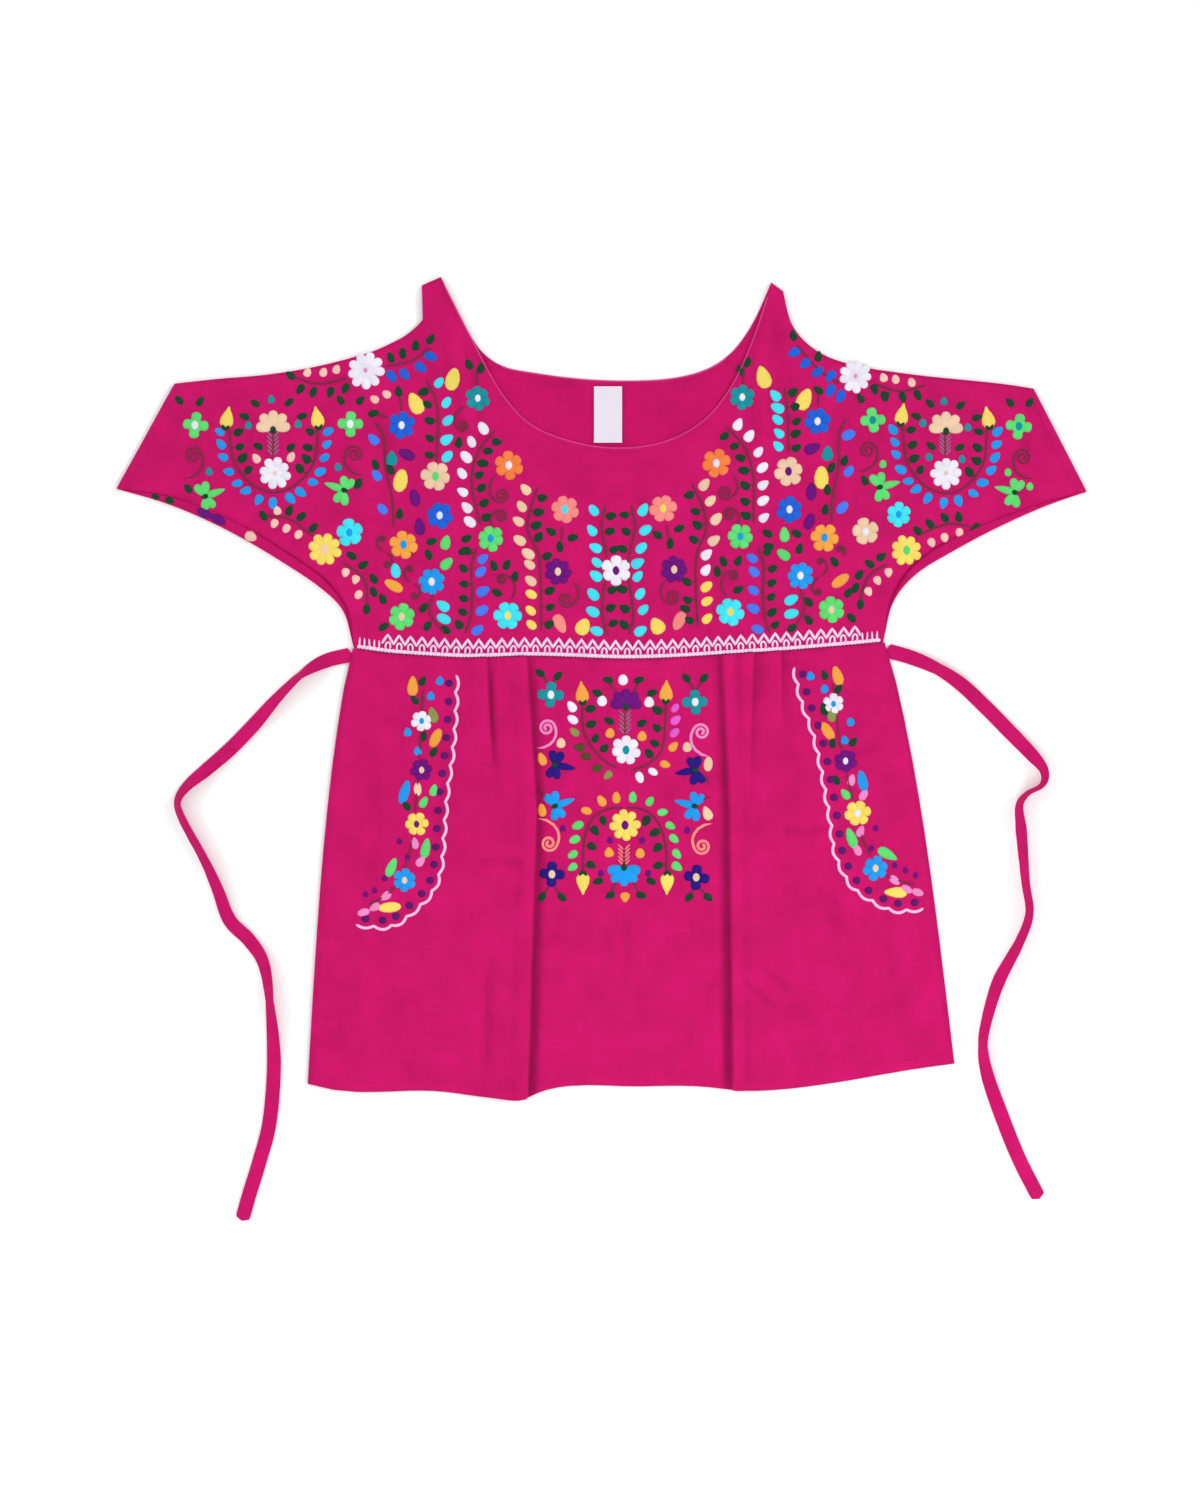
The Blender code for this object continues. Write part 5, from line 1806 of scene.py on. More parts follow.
class Stitcher:
    """Works raised stitches in millimetres, and lays them on the cloth at the end."""

    def __init__(self, surface, least=FRONT_LEVEL - 1.0, *, seed):
        self.batches = []
        self.start_batch()
        self.random = random.Random(seed)
        self.surface = surface
        self.least = least
        self.settings = bpy.context.scene.blouse_thread

    def start_batch(self):
        """Starts a new mesh, because an operator takes longer the more a mesh already holds."""
        self.mesh = bmesh.new()
        self.batches.append(self.mesh)
        self.colour = self.mesh.verts.layers.float_color.new("thread_colour")
        self.stitch = self.mesh.verts.layers.float_vector.new("stitch_place")

    def tint(self, name):
        """A thread's colour, a little lighter or darker each time."""
        value = THREAD_DEPTH * self.random.uniform(0.93, 1.05)
        return (*(min(part * value, 1.0) for part in getattr(self.settings, name)), 1.0)

    def pad(self, place, angle, length, width, colour, height=None, taper=0.25, slant=0.45):
        """A pad of satin stitches that narrows towards its tip, or its foot where taper is below zero.

        slant sets how the stitches run: 0 along the pad, larger values more across it.
        """
        if len(self.mesh.verts) > BATCH_SIZE:
            self.start_batch()
        made = bmesh.ops.create_uvsphere(self.mesh, u_segments=PAD_AROUND, v_segments=PAD_ALONG, radius=1.0)
        height = height or self.settings.pad_height / MM
        tint = self.tint(colour)
        along_axis = direction(angle)
        side_axis = left_of(along_axis)
        for vert in made["verts"]:
            side, up, along = vert.co
            x = along * length / 2
            y = side * (1.0 - taper * along) * width / 2
            flat = place + along_axis * x + side_axis * y
            vert.co = (flat.x, flat.y, up * height if up > 0 else up * PAD_SUNK)
            vert[self.colour] = tint
            vert[self.stitch] = (y + slant * x * 2.0, x, 0.0)

    def thread(self, points, width, colour, height=None):
        """A raised line of stem stitches along a curve, which ends in a point at both ends."""
        line = Line(points)
        height = height or width * THREAD_ROUNDNESS
        tint = self.tint(colour)
        last = len(points) - 1
        rings = []
        for index, mark in enumerate(line.marks):
            side = left_of(line.heading(mark))
            full = float(0 < index < last)
            ring = []
            for step in range(TUBE_SIDES):
                turn = math.tau * step / TUBE_SIDES
                flat = points[index] + side * (math.cos(turn) * width / 2 * full)
                up = math.sin(turn) * full
                ring.append(Vector((flat.x, flat.y, up * height if up > 0 else up * PAD_SUNK)))
            rings.append(ring)
        pitch = self.settings.stitch_pitch / MM / STEM_STITCH
        for index, vert in enumerate(add_tube(self.mesh, rings)):
            station, step = divmod(index, TUBE_SIDES + 1)
            twist = step * STEM_TWIST
            vert[self.colour] = tint
            vert[self.stitch] = ((line.marks[station] + twist) * pitch, twist, 0.0)

    def flower(self, flower):
        centre, reach = Vector((flower.x, flower.y)), flower.across / 2
        cross = flower.petals == 4
        form = CROSS_PETALS if cross else ROUND_PETALS
        turn = math.pi / 2 + self.random.uniform(-0.15, 0.15) if cross else self.random.uniform(0.0, math.tau)
        room = reach if cross else 2.0 * math.sin(math.pi / flower.petals) * reach
        length, width = reach * form.length, room * form.width
        ground = reach * FLOWER_GROUND
        self.pad(centre, turn, ground, ground, flower.colour, height=0.8, taper=0.0)
        for petal in range(flower.petals):
            angle = turn + math.tau * petal / flower.petals + self.random.uniform(-0.06, 0.06)
            tip = reach * self.random.uniform(0.94, 1.04)
            place = centre + direction(angle) * (tip - length / 2)
            self.pad(place, angle, length, width, flower.colour, height=1.1, taper=-0.2, slant=0.06)
        daisy = flower.petals >= DAISY_PETALS and flower.colour == "white"
        eye = reach * (DAISY_EYE if daisy else form.eye)
        self.pad(centre, math.pi / 2, eye * EYE_STRETCH, eye, flower.eye, height=1.5, taper=0.0)

    def leaf(self, place, angle, length, width, colour):
        self.pad(place, angle, length, width, colour, taper=self.random.uniform(0.05, 0.4))

    def vine(self, vine, flowers):
        """A stem with its leaves, apart from those that a flower takes the place of."""
        points = curve_points(vine.line, CURVE_STEP)
        line = Line(points)
        for run in clear_runs(points, flowers):
            self.thread(run, self.settings.vine_width / MM, "vine_brown")
        for side, rows, name in ((1, vine.left, "left"), (-1, vine.right, "right")):
            colours = [colour for colour, count in rows for _ in range(count)]
            kind = LARGE_LEAF if vine.large == name else SMALL_LEAF
            for index, colour in enumerate(colours):
                mark = line.length * (index + 0.5) / len(colours) + self.random.uniform(-1.0, 1.0)
                away = left_of(line.heading(mark)) * side
                place = line.at(mark) + away * (kind.away + self.random.uniform(-0.7, 0.7))
                if all((place - Vector(f[:2])).length > f.across / 2 + FLOWER_ROOM for f in flowers):
                    self.side_leaf(line.at(mark), away, place, colour, kind, vine)

    def side_leaf(self, stem, away, place, colour, kind, vine):
        """A leaf beside a vine, with a short stalk from the stem where it is a small one."""
        size = self.random.uniform(0.9, 1.1) * (vine.size if kind == LARGE_LEAF else 1.0)
        lean = away + Vector((0.0, vine.grows * abs(away.x) * kind.lean))
        angle = turn_of(lean) + self.random.uniform(-0.25, 0.25)
        self.leaf(place, angle, kind.length * size, kind.width * size, colour)
        if kind == SMALL_LEAF:
            stalk = curve_points([stem, stem + away * STALK_BEND, place], STALK_STEP)
            self.thread(stalk, STALK_WIDTH, "vine_brown")

    def spiral(self, spiral):
        centre = Vector((spiral.x, spiral.y))
        tail = Vector(spiral.tail) - centre
        start, extra = turn_of(tail), max(tail.length - spiral.radius, 0.0)
        points = []
        for step in range(SPIRAL_STEPS + 1):
            turned = SPIRAL_TURNS * math.tau * step / SPIRAL_STEPS
            radius = spiral.radius * (1.0 - SPIRAL_CLOSING * step / SPIRAL_STEPS)
            radius += extra * max(1.0 - turned / TAIL_TURN, 0.0) ** TAIL_BEND
            points.append(centre + direction(start + spiral.hand * turned) * radius)
        width = self.settings.vine_width / MM if spiral.colour == "vine_brown" else WIDE_THREAD
        self.thread(points, width, spiral.colour)

    def bud(self, bud):
        place, angle = Vector((bud.x, bud.y)), math.radians(bud.angle)
        out = direction(angle)
        side = left_of(out)
        foot = place - out * bud.length * 0.5
        self.pad(place, angle, bud.length, bud.width, bud.colour, height=1.1, taper=0.5, slant=0.1)
        tip = place + out * bud.length * BUD_TIP_AWAY
        length, width = bud.length * BUD_TIP_LENGTH, bud.width * BUD_TIP_WIDTH
        self.pad(tip, angle, length, width, bud.colour, height=0.9, taper=0.3, slant=0.1)
        for hand in (-1, 1):
            cup = foot + side * hand * CUP_ASIDE + out * CUP_ABOVE
            self.pad(cup, angle + hand * CUP_TURN, *CUP_SIZE, "leaf_green", height=1.2)

    def half_flower(self, half):
        heart, angle = Vector((half.x, half.y)), math.radians(half.angle)
        width = half.across * FAN_WIDTH
        for step in range(FAN_PETALS):
            turn = angle + math.radians(FAN_START + FAN_STEP * step)
            outermost = step in (0, FAN_PETALS - 1)
            reach = half.across * (FAN_SIDE_REACH if outermost else FAN_MIDDLE_REACH)
            place = heart + direction(turn) * reach * FAN_AWAY
            self.pad(place, turn, reach * FAN_LENGTH, width, half.colour, height=1.1, taper=-0.3, slant=0.06)
        self.pad(heart, angle, *FAN_HEART, "leaf_green", height=1.5, taper=0.0)

    def butterfly(self, fly):
        heart, angle = Vector((fly.x, fly.y)), math.radians(fly.angle)
        for wing in BUTTERFLY:
            turn = angle + wing.turn
            place = heart + direction(turn) * (wing.reach * 0.5 + 1.0)
            size = (wing.reach, wing.width)
            self.pad(place, turn, *size, fly.colour, height=1.0, taper=wing.taper, slant=0.08)
        self.pad(heart, angle, *BUTTERFLY_BODY, "leaf_green", height=1.4, taper=0.0)

    def herringbone(self, stem):
        rows = round((stem.top - stem.foot) / HERRINGBONE_PITCH)
        for row in range(rows):
            y = stem.foot + (stem.top - stem.foot) * (row + 0.5) / rows
            for hand in (-1, 1):
                angle = math.pi / 2 - hand * HERRINGBONE_TURN
                place = Vector((stem.x + hand * HERRINGBONE_ASIDE, y))
                self.pad(place, angle, *HERRINGBONE_STITCH, stem.colour, height=0.6, taper=0.1)
        line = [Vector((stem.x, stem.top)), Vector((stem.x, stem.foot - CURVE_STEP))]
        self.thread(curve_points(line, CURVE_STEP), 1.0, "vine_brown")

    def pocket_edge(self, edge):
        """A scalloped thread with a row of dots beside it."""
        line = Line(curve_points(edge.line, POCKET_STEP))
        steps = round(line.length / SCALLOP_LENGTH) * SCALLOP_STEPS
        points = []
        for step in range(steps + 1):
            mark = line.length * step / steps
            side = left_of(line.heading(mark)) * edge.hand
            wave = abs(math.sin(math.pi * step / SCALLOP_STEPS))
            points.append(line.at(mark) - side * (wave - 0.5) * SCALLOP_DEPTH)
        self.thread(points, WIDE_THREAD, "pale_pink")
        dots = round(line.length / DOT_PITCH)
        for index in range(dots):
            mark = line.length * (index + 0.5) / dots
            place = line.at(mark) + left_of(line.heading(mark)) * edge.hand * DOT_AWAY
            self.pad(place, 0.0, *DOT_SIZE, "dark_purple", height=0.8, taper=0.0)

    def work(self, sampler):
        """Works every motif of a sampler."""
        for vine in sampler.vines:
            self.vine(vine, sampler.flowers)
        for spiral in sampler.spirals:
            self.spiral(spiral)
        for stem in sampler.herringbones:
            self.herringbone(stem)
        for edge in sampler.pocket_edges:
            self.pocket_edge(edge)
        for group in sampler.leaves:
            size = (group.length * LEAF_FULLNESS, group.width * LEAF_FULLNESS)
            for x, y, angle in group.spots:
                turn = math.radians(angle + self.random.uniform(-8.0, 8.0))
                self.leaf(Vector((x, y)), turn, *size, group.colour)
        for half in sampler.half_flowers:
            self.half_flower(half)
        for fly in sampler.butterflies:
            self.butterfly(fly)
        for bud in sampler.buds:
            self.bud(bud)
        for flower in sampler.flowers:
            self.flower(flower)

    def finish(self, name, material, slot, *nodes):
        """Closes the tubes, lays every stitch on the cloth and makes the piece."""
        whole = bmesh.new()
        joined = bpy.data.meshes.new(name)
        for batch in self.batches:
            bmesh.ops.remove_doubles(batch, verts=batch.verts, dist=1e-5)
            for vert in batch.verts:
                x, y, up = vert.co
                vert.co = Vector((x, y, self.surface.height(x, y, self.least) + up)) * MM
            batch.to_mesh(joined)
            batch.free()
            whole.from_mesh(joined)
        bpy.data.meshes.remove(joined)
        piece = finished(name, whole, 80.0)
        dress(piece, material, slot, *nodes)
        return piece


def make_stitches(name):
    """Fine ridges of laid threads: their height, and a shade that differs from thread to thread."""
    group, entry, exit_node = new_group(
        name,
        [("Place", "Vector", None), ("Pitch", "Float", 0.5)],
        [("Height", "Float"), ("Shade", "Float")],
    )
    parts = add_node(group, "ShaderNodeSeparateXYZ", Vector=entry.outputs["Place"])
    counted = math_node(group, "DIVIDE", parts.outputs["X"], entry.outputs["Pitch"])
    angle = math_node(group, "MULTIPLY", counted, math.pi)
    ridge = math_node(group, "ABSOLUTE", math_node(group, "SINE", angle))
    whole = math_node(group, "FLOOR", counted)
    along = math_node(group, "MULTIPLY", parts.outputs["Y"], 0.15)
    spot = add_node(group, "ShaderNodeCombineXYZ", X=whole, Y=along).outputs[0]
    grain = noise_node(group, "Fac", Vector=spot, Scale=1.7, Detail=1.0)
    height = math_node(group, "ADD", ridge, grain)
    group.links.new(height, exit_node.inputs["Height"])
    group.links.new(grain, exit_node.inputs["Shade"])
    return group


def thread_material(name, roughness):
    """Satin-stitched cotton thread whose colour comes with the stitches."""
    settings = bpy.context.scene.blouse_thread
    material, tree, shader = new_material(name)
    place = add_node(tree, "ShaderNodeAttribute", {"attribute_name": "stitch_place"}).outputs["Vector"]
    dye = add_node(tree, "ShaderNodeAttribute", {"attribute_name": "thread_colour"}).outputs["Color"]
    stitches = group_node(tree, "laid stitches", make_stitches, Place=place, Pitch=settings.stitch_pitch / MM)
    where = add_node(tree, "ShaderNodeTexCoord").outputs["Object"]
    mottle = group_node(
        tree, "dye mottle", make_mottle,
        Place=where, Colour=dye, Patch=0.004, Amount=0.14, Shade=stitches.outputs["Shade"],
    )
    finish_fabric(
        tree, shader, mottle.outputs["Colour"], stitches.outputs["Height"], relief=(0.6, 0.00015),
        Roughness=roughness, Specular_IOR_Level=0.12, Sheen_Weight=0.04, Sheen_Roughness=0.5,
    )
    return material


def satin_thread():
    return bpy.data.materials.get("satin stitch thread") or thread_material("satin stitch thread", 0.55)


def embroider(name, sampler, cloth, seed):
    stitcher = Stitcher(Surface(cloth), seed=seed)
    stitcher.work(sampler)
    stitcher.finish(name, satin_thread(), "thread")


class BLOUSE_OT_sleeve_embroidery(bpy.types.Operator):
    """Work the flowers, vines and butterflies on both sleeves"""

    bl_idname = "blouse.sleeve_embroidery"
    bl_label = "Sleeve Embroidery"

    def execute(self, context):
        embroider("sleeve_left_embroidery", LEFT_SLEEVE, "yoke_front_cloth", seed=11)
        embroider("sleeve_right_embroidery", RIGHT_SLEEVE, "yoke_front_cloth", seed=12)
        self.underarm()
        return {"FINISHED"}

    @staticmethod
    def underarm():
        """The ends of the back's own embroidery, which show beside the left sleeve's seam."""
        front, back = Line(yoke_edges("yoke_front")[0]), Line(yoke_edges("yoke_back")[0])
        stitcher = Stitcher(Surface("yoke_back_cloth"), BACK_LEVEL, seed=13)
        for leaf in UNDERARM_LEAVES:
            outer = min(back.points, key=lambda point: abs(point.x - leaf.x))
            inner = front.at(front.nearest(outer)[0])
            heading = back.heading(back.nearest(outer)[0])
            width = max((inner - outer).length * STRIP_FILLED, LEAST_WRAP_LEAF)
            stitcher.leaf(outer.lerp(inner, 0.5), turn_of(heading), leaf.length, width, leaf.colour)
        stitcher.finish("underarm_embroidery", satin_thread(), "thread")


class BLOUSE_OT_yoke_embroidery(bpy.types.Operator):
    """Work the flowers and vines across the yoke"""

    bl_idname = "blouse.yoke_embroidery"
    bl_label = "Yoke Embroidery"

    def execute(self, context):
        embroider("yoke_left_embroidery", LEFT_YOKE, "yoke_front_cloth", seed=21)
        embroider("yoke_right_embroidery", RIGHT_YOKE, "yoke_front_cloth", seed=22)
        embroider("yoke_middle_embroidery", CENTRE_YOKE, "yoke_front_cloth", seed=23)
        return {"FINISHED"}


class BLOUSE_OT_skirt_embroidery(bpy.types.Operator):
    """Work the middle panel and the two pocket shapes on the skirt"""

    bl_idname = "blouse.skirt_embroidery"
    bl_label = "Skirt Embroidery"

    def execute(self, context):
        embroider("skirt_middle_embroidery", SKIRT_MIDDLE, "skirt_front_cloth", seed=31)
        embroider("pocket_left_embroidery", LEFT_POCKET, "skirt_front_cloth", seed=32)
        embroider("pocket_right_embroidery", RIGHT_POCKET, "skirt_front_cloth", seed=33)
        return {"FINISHED"}


BRAID_SPAN = (-209.5, 207.5)
BRAID_MARGIN = 5.0
BRAID_LEAST = 3.2
BRAID_OVERLAP = 2.0
SEAM_TOP = 12.0
CHAIN_PITCH = 3.0
CHAIN_ROW = 1.8
CHAIN_WIDTH = 3.4
CHAIN_OVERLAP = 1.35
CHAIN_SLANT = 0.12
ZIGZAG_SPAN = (-190.0, 192.0)
ZIGZAG_TEETH = 42
ZIGZAG_PITCH = (ZIGZAG_SPAN[1] - ZIGZAG_SPAN[0]) / ZIGZAG_TEETH
ZIGZAG_FOOT = 7.2
ZIGZAG_PEAK = 14.4
ZIGZAG_THREAD = 2.4
LOOP_FOOT = 2.6
LOOP_TOP = 8.4
LOOP_SHOULDER = 1.8
LOOP_HALF = 1.8
LOOP_THREAD = 1.6
LOOP_STEP = 1.6
STROKE_PITCH = 4.2
STROKE_START = 0.4


class BLOUSE_OT_waist_braid(bpy.types.Operator):
    """Work the pink trim along the waist: chain stitches, loops and a zigzag"""

    bl_idname = "blouse.waist_braid"
    bl_label = "Waist Braid"

    def execute(self, context):
        first, last = BRAID_SPAN[0] - BRAID_MARGIN, BRAID_SPAN[1] + BRAID_MARGIN
        lows = [p for p in yoke_edges("yoke_front")[0] if first < p.x < last and p.y < SEAM_TOP]
        seam = ([point.x for point in lows], [point.y for point in lows])
        stitcher = Stitcher(Surface("yoke_front_cloth"), BRAID_LEAST, seed=41)
        self.chains(stitcher, seam)
        self.loops(stitcher, seam)
        self.zigzag(stitcher, seam)
        material = thread_material("pink braid thread", 0.6)
        stitcher.finish("waist_braid_thread", material, "braid", "waist_braid")
        return {"FINISHED"}

    @staticmethod
    def chains(stitcher, seam):
        count = round((BRAID_SPAN[1] - BRAID_SPAN[0]) / CHAIN_PITCH)
        for index in range(count):
            x = BRAID_SPAN[0] + (index + 0.5) * CHAIN_PITCH
            place = Vector((x, interpolate(x, *seam) + CHAIN_ROW))
            length = CHAIN_PITCH * CHAIN_OVERLAP
            stitcher.pad(place, CHAIN_SLANT, length, CHAIN_WIDTH, "braid", height=1.1, taper=0.1)

    @staticmethod
    def loops(stitcher, seam):
        """A loop inside each tooth of the zigzag, and plain strokes beyond its ends."""
        for tooth in range(ZIGZAG_TEETH):
            x = ZIGZAG_SPAN[0] + (tooth + 0.5) * ZIGZAG_PITCH
            y = interpolate(x, *seam)
            lean = stitcher.random.uniform(-0.4, 0.4)
            shoulder = y + LOOP_TOP - LOOP_SHOULDER
            arch = [
                (x - LOOP_HALF, y + LOOP_FOOT),
                (x - LOOP_HALF + lean, shoulder),
                (x + lean, y + LOOP_TOP),
                (x + LOOP_HALF + lean, shoulder),
                (x + LOOP_HALF, y + LOOP_FOOT),
            ]
            stitcher.thread(curve_points(arch, LOOP_STEP), LOOP_THREAD, "braid", height=0.7)
        for start, end in ((BRAID_SPAN[0], ZIGZAG_SPAN[0]), (ZIGZAG_SPAN[1], BRAID_SPAN[1])):
            count = round((end - start) / STROKE_PITCH)
            for index in range(count):
                x = start + (index + STROKE_START) * (end - start) / count
                place = Vector((x, interpolate(x, *seam) + (LOOP_FOOT + LOOP_TOP) / 2))
                angle = math.pi / 2 + stitcher.random.uniform(-0.1, 0.1)
                length = LOOP_TOP - LOOP_FOOT + BRAID_OVERLAP
                stitcher.pad(place, angle, length, LOOP_THREAD, "braid", height=0.8, taper=0.05)

    @staticmethod
    def zigzag(stitcher, seam):
        for tooth in range(ZIGZAG_TEETH):
            for hand in (0, 1):
                foot_x = ZIGZAG_SPAN[0] + (tooth + hand) * ZIGZAG_PITCH
                peak_x = ZIGZAG_SPAN[0] + (tooth + 0.5) * ZIGZAG_PITCH + stitcher.random.uniform(-0.3, 0.3)
                foot = Vector((foot_x, interpolate(foot_x, *seam) + ZIGZAG_FOOT))
                peak = Vector((peak_x, interpolate(peak_x, *seam) + ZIGZAG_PEAK))
                run = peak - foot
                length = run.length + BRAID_OVERLAP
                middle = foot.lerp(peak, 0.5)
                stitcher.pad(middle, turn_of(run), length, ZIGZAG_THREAD, "braid", height=1.1, taper=0.05)


LABEL_SIZE = (22.4, 45.0)
LABEL_CENTRE = (-9.6, 189.6)
LABEL_UNDERSIDE = 1.7
LABEL_WALL = 0.5
LABEL_COLUMNS = 14
LABEL_ROWS = 30
LABEL_LIFT = 0.22
LABEL_WAVE = 0.3
LABEL_CURL = 0.35
LABEL_CURL_START = -0.25
LABEL_RIM = 0.1
LABEL_RIM_AWAY = 1.6
LABEL_RIM_SCALE = 40.0
LABEL_STITCHES = 7
LABEL_STITCH = (2.2, 0.5)
LABEL_STITCH_INSET = 1.5
LABEL_STITCH_BELOW = 1.6


class BLOUSE_OT_care_label(bpy.types.Operator):
    """Make the blank woven label inside the back neck, with the stitches that hold it"""

    bl_idname = "blouse.care_label"
    bl_label = "Care Label"

    def execute(self, context):
        width, height = LABEL_SIZE
        columns = []
        for step in range(LABEL_COLUMNS + 1):
            column = []
            for row in range(LABEL_ROWS + 1):
                side, up = step / LABEL_COLUMNS - 0.5, row / LABEL_ROWS - 0.5
                place = Vector((LABEL_CENTRE[0] + side * width, LABEL_CENTRE[1] + up * height))
                edge = min(0.5 - abs(side), 0.5 - abs(up)) * LABEL_RIM_SCALE
                lift = LABEL_LIFT + LABEL_WAVE * noise.noise(Vector((side * 2.2, up * 3.1, 3.0)))
                curl = LABEL_CURL * smooth(LABEL_CURL_START - up) * abs(side) * 2.0
                lift += curl + LABEL_RIM * bump(edge - LABEL_RIM_AWAY)
                lift = max(lift, 0.0)
                column.append((place, LABEL_UNDERSIDE + lift, LABEL_UNDERSIDE + LABEL_WALL + lift))
            columns.append(column)
        label = sheet_mesh("care_label_ribbon", columns)
        dress(label, self.ribbon(context.scene.blouse_cloth), "label", "care_label")
        self.sew_on(label)
        return {"FINISHED"}

    @staticmethod
    def ribbon(settings):
        """Smooth woven ribbon, faintly ribbed."""
        material, tree, shader = new_material("label ribbon")
        place = add_node(tree, "ShaderNodeTexCoord").outputs["Object"]
        weave = group_node(tree, "plain weave", make_weave, Place=place, Pitch=settings.weave_pitch * 0.6)
        mottle = group_node(
            tree, "dye mottle", make_mottle, Place=place, Colour=(*settings.label_colour, 1.0), Patch=0.012,
            Amount=0.08, Shade=weave.outputs["Shade"],
        )
        finish_fabric(
            tree, shader, mottle.outputs["Colour"], weave.outputs["Height"], relief=(0.4, 0.0001),
            Roughness=0.5, Sheen_Weight=0.1,
        )
        return material

    @staticmethod
    def sew_on(label):
        stitcher = Stitcher(Surface("care_label_ribbon"), LABEL_UNDERSIDE, seed=51)
        width, height = LABEL_SIZE
        for step in range(LABEL_STITCHES):
            side = step / (LABEL_STITCHES - 1) - 0.5
            x = LABEL_CENTRE[0] + side * (width - 2 * LABEL_STITCH_INSET)
            place = Vector((x, LABEL_CENTRE[1] + height / 2 - LABEL_STITCH_BELOW))
            stitcher.pad(place, 0.0, *LABEL_STITCH, "white", height=0.25, taper=0.0)
        stitcher.finish("care_label_stitches", satin_thread(), "thread")


HEM_STITCH = 2.2
HEM_STITCH_WIDTH = 0.55
HEM_STITCH_PITCH = 3.2
HEM_ROW_START = 4.0
HEM_ROW_SPARE = 6.0
HEM_HEADING_REACH = 4.0
HEM_LEAST = 0.8
BACK_NECK_SPAN = (-100.0, 88.0)
ROLL_INSET = 0.7
ROLL_WIDTH = 1.3


class BLOUSE_OT_hem_stitches(bpy.types.Operator):
    """Sew the small stitches along the hems, and the folded edges of the neck with their painted highlight"""

    bl_idname = "blouse.hem_stitches"
    bl_label = "Hem Stitches"

    def execute(self, context):
        settings = context.scene.blouse_cloth
        form = SkirtForm("skirt_front")
        hem = relaxed([Vector(point) for point in zip(*form.hem)], set())
        lows, tops = yoke_edges("yoke_front")
        neck = [point for point in tops if STRAP_LEFT[1] < point.x < STRAP_RIGHT[0]]
        back_tops = yoke_edges("yoke_back")[1]
        back_neck = [point for point in back_tops if BACK_NECK_SPAN[0] < point.x < BACK_NECK_SPAN[1]]
        surface = Surface("yoke_front_cloth", "skirt_front_cloth", "yoke_back_cloth")
        stitcher = Stitcher(surface, HEM_LEAST, seed=61)
        self.sew(stitcher, hem, settings.skirt_hem / MM, 1)
        self.sew(stitcher, neck, settings.neck_hem / MM, -1)
        self.sew(stitcher, back_neck, settings.neck_hem / MM, -1)
        for end in (0, -1):
            edge = [lows[end], tops[end]]
            self.sew(stitcher, edge, settings.sleeve_hem / MM, -1 if end == 0 else 1)
        self.roll(stitcher, neck)
        self.roll(stitcher, back_neck)
        stitcher.finish("hem_stitches", satin_thread(), "thread")
        return {"FINISHED"}

    @staticmethod
    def roll(stitcher, edge):
        """The folded edge of a neck hem: a low raised thread, whose lighter pink is a painted highlight."""
        line = Line(edge)
        points = []
        for mark in line.marks[1:-1]:
            points.append(line.at(mark) - left_of(line.heading(mark)) * ROLL_INSET)
        stitcher.thread(points, ROLL_WIDTH, "painted_neck_highlight", height=0.4)

    @staticmethod
    def sew(stitcher, edge, inset, hand):
        """A row of stitches at a distance from an edge, on its left where hand is 1."""
        line = Line(edge)
        count = int((line.length - HEM_ROW_SPARE) / HEM_STITCH_PITCH)
        for index in range(count):
            mark = HEM_ROW_START + index * HEM_STITCH_PITCH
            ahead, behind = line.at(mark + HEM_HEADING_REACH), line.at(mark - HEM_HEADING_REACH)
            heading = (ahead - behind).normalized()
            place = line.at(mark) + left_of(heading) * hand * inset
            width = HEM_STITCH_WIDTH
            stitcher.pad(place, turn_of(heading), HEM_STITCH, width, "hem_thread", height=0.3, taper=0.0)


FLOOR_HALF = 20.0
FLOOR_LEVEL = -0.0004


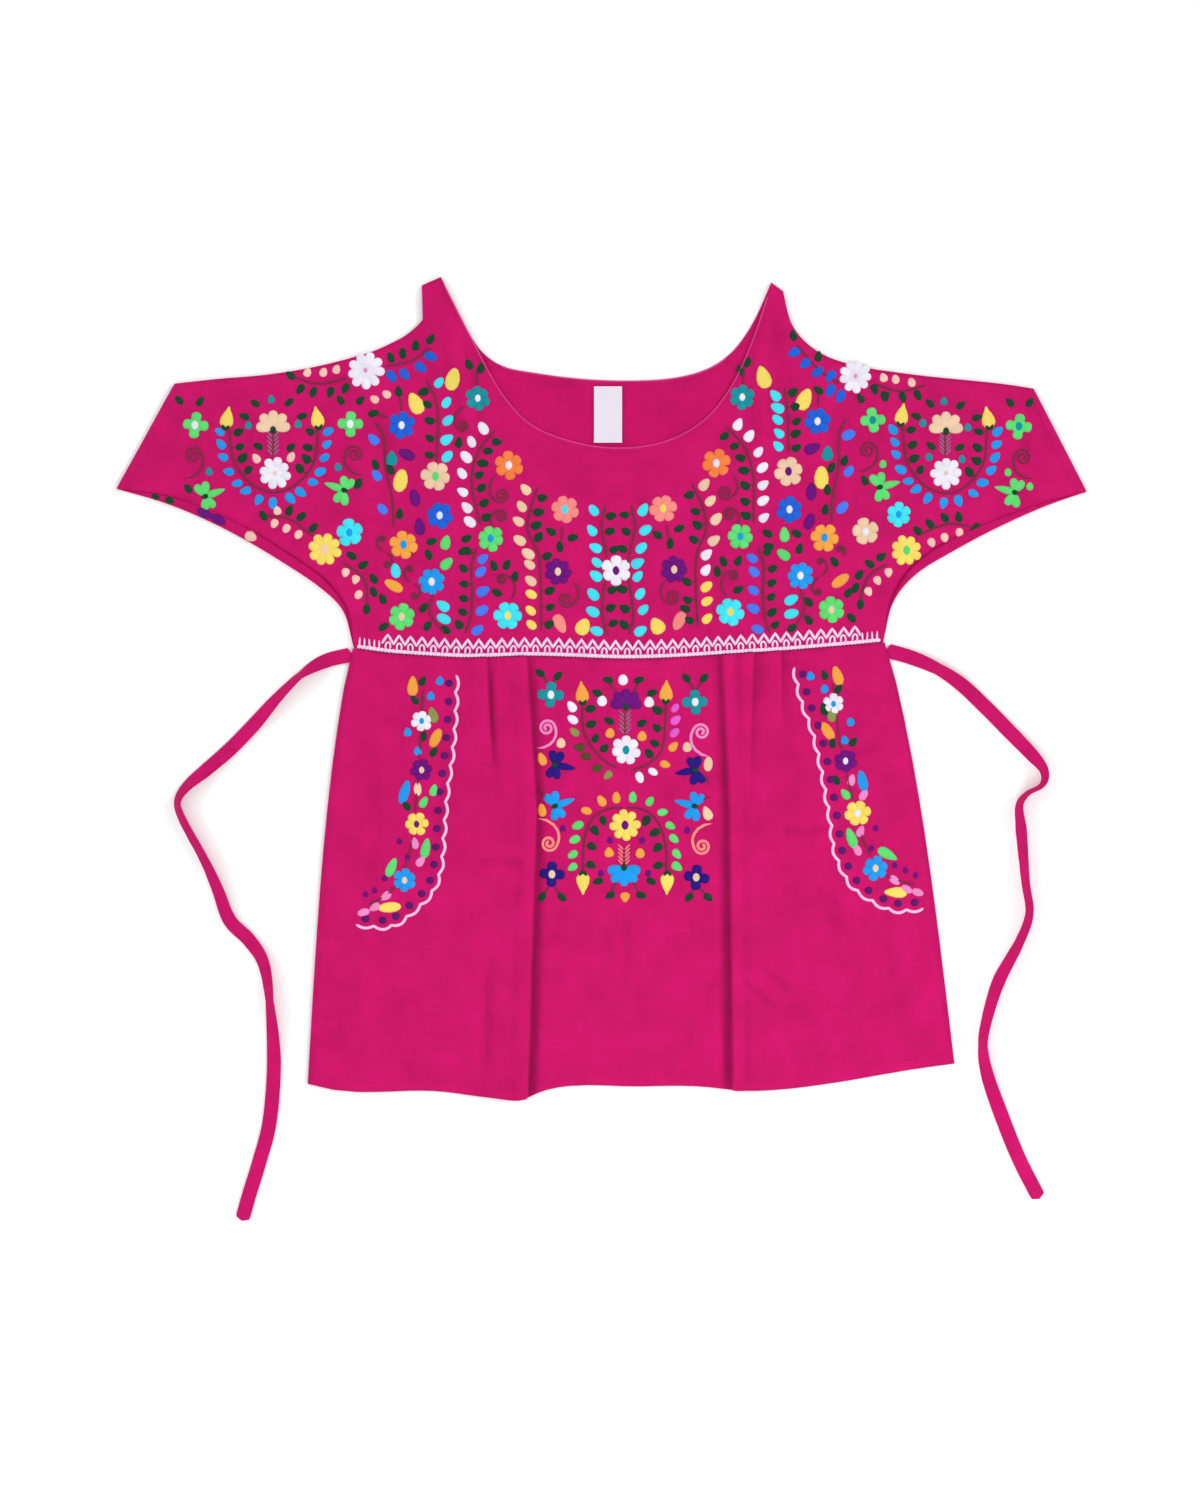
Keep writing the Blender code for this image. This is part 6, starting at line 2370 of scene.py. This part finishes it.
class BLOUSE_OT_stage(bpy.types.Operator):
    """Add the floor, the lights and the camera above the blouse"""

    bl_idname = "blouse.stage"
    bl_label = "Floor, Lights and Camera"

    def execute(self, context):
        scene = context.scene
        scene.view_settings.view_transform = "Standard"
        mesh = bmesh.new()
        bmesh.ops.create_grid(mesh, x_segments=1, y_segments=1, size=FLOOR_HALF)
        for vert in mesh.verts:
            vert.co.z = FLOOR_LEVEL
        floor = finished("floor", mesh)
        material, tree, shader = new_material("pale paper")
        place = add_node(tree, "ShaderNodeTexCoord").outputs["Object"]
        mottle = group_node(
            tree, "dye mottle", make_mottle,
            Place=place, Colour=(0.93, 0.93, 0.93, 1.0), Patch=0.4, Amount=0.01,
        )
        tree.links.new(mottle.outputs["Colour"], shader.inputs["Base Color"])
        shader.inputs["Roughness"].default_value = 0.9
        shader.inputs["Specular IOR Level"].default_value = 0.1
        floor.data.materials.append(material)
        self.add_camera(scene)
        self.add_lights(scene)
        return {"FINISHED"}

    @staticmethod
    def add_camera(scene):
        data = bpy.data.cameras.new("camera")
        data.lens = 50.0
        data.sensor_width = 36.0
        camera = bpy.data.objects.new("camera", data)
        camera.location = (-0.016, -0.0784, 1.6667)
        scene.collection.objects.link(camera)
        scene.camera = camera

    @staticmethod
    def add_lights(scene):
        for name, place, spread_angle, power in (
            ("left light", (-1.0, 0.25, 0.62), 14.0, 0.78),
            ("right light", (1.0, 0.3, 0.62), 14.0, 1.0),
        ):
            data = bpy.data.lights.new(name, "SUN")
            data.angle = math.radians(spread_angle)
            data.energy = power
            light = bpy.data.objects.new(name, data)
            light.location = place
            light.rotation_euler = (-Vector(place)).to_track_quat("-Z", "Y").to_euler()
            scene.collection.objects.link(light)
        data = bpy.data.lights.new("front light", "AREA")
        data.size = 0.7
        data.energy = 3.4
        light = bpy.data.objects.new("front light", data)
        light.location = (0.35, -0.75, 0.9)
        light.rotation_euler = (Vector((0.1, -0.2, 0.0)) - light.location).to_track_quat("-Z", "Y").to_euler()
        scene.collection.objects.link(light)
        world = bpy.data.worlds.new("studio")
        world.use_nodes = True
        world.node_tree.nodes["Background"].inputs["Color"].default_value = (1.0, 1.0, 1.0, 1.0)
        world.node_tree.nodes["Background"].inputs["Strength"].default_value = 0.78
        scene.world = world


OPERATORS = (
    BLOUSE_OT_yokes,
    BLOUSE_OT_skirt,
    BLOUSE_OT_ties,
    BLOUSE_OT_waist_braid,
    BLOUSE_OT_care_label,
    BLOUSE_OT_hem_stitches,
    BLOUSE_OT_sleeve_embroidery,
    BLOUSE_OT_yoke_embroidery,
    BLOUSE_OT_skirt_embroidery,
    BLOUSE_OT_stage,
)


class BLOUSE_PT_panel(bpy.types.Panel):
    """Lists the steps that build the blouse"""

    bl_idname = "BLOUSE_PT_panel"
    bl_label = "Blouse"
    bl_space_type = "VIEW_3D"
    bl_region_type = "UI"
    bl_category = "Blouse"

    def draw(self, context):
        for group in (context.scene.blouse_cloth, context.scene.blouse_thread):
            for key in group.bl_rna.properties.keys():
                if key not in ("rna_type", "name"):
                    self.layout.prop(group, key)
        for operator in OPERATORS:
            self.layout.operator(operator.bl_idname)


CLASSES = (ClothSettings, ThreadSettings, *OPERATORS, BLOUSE_PT_panel)


def register():
    for cls in CLASSES:
        bpy.utils.register_class(cls)
    bpy.types.Scene.blouse_cloth = PointerProperty(type=ClothSettings)
    bpy.types.Scene.blouse_thread = PointerProperty(type=ThreadSettings)


def unregister():
    del bpy.types.Scene.blouse_thread
    del bpy.types.Scene.blouse_cloth
    for cls in reversed(CLASSES):
        bpy.utils.unregister_class(cls)


def main():
    register()
    for operator in OPERATORS:
        group, name = operator.bl_idname.split(".")
        getattr(getattr(bpy.ops, group), name)()


if __name__ == "__main__":
    main()
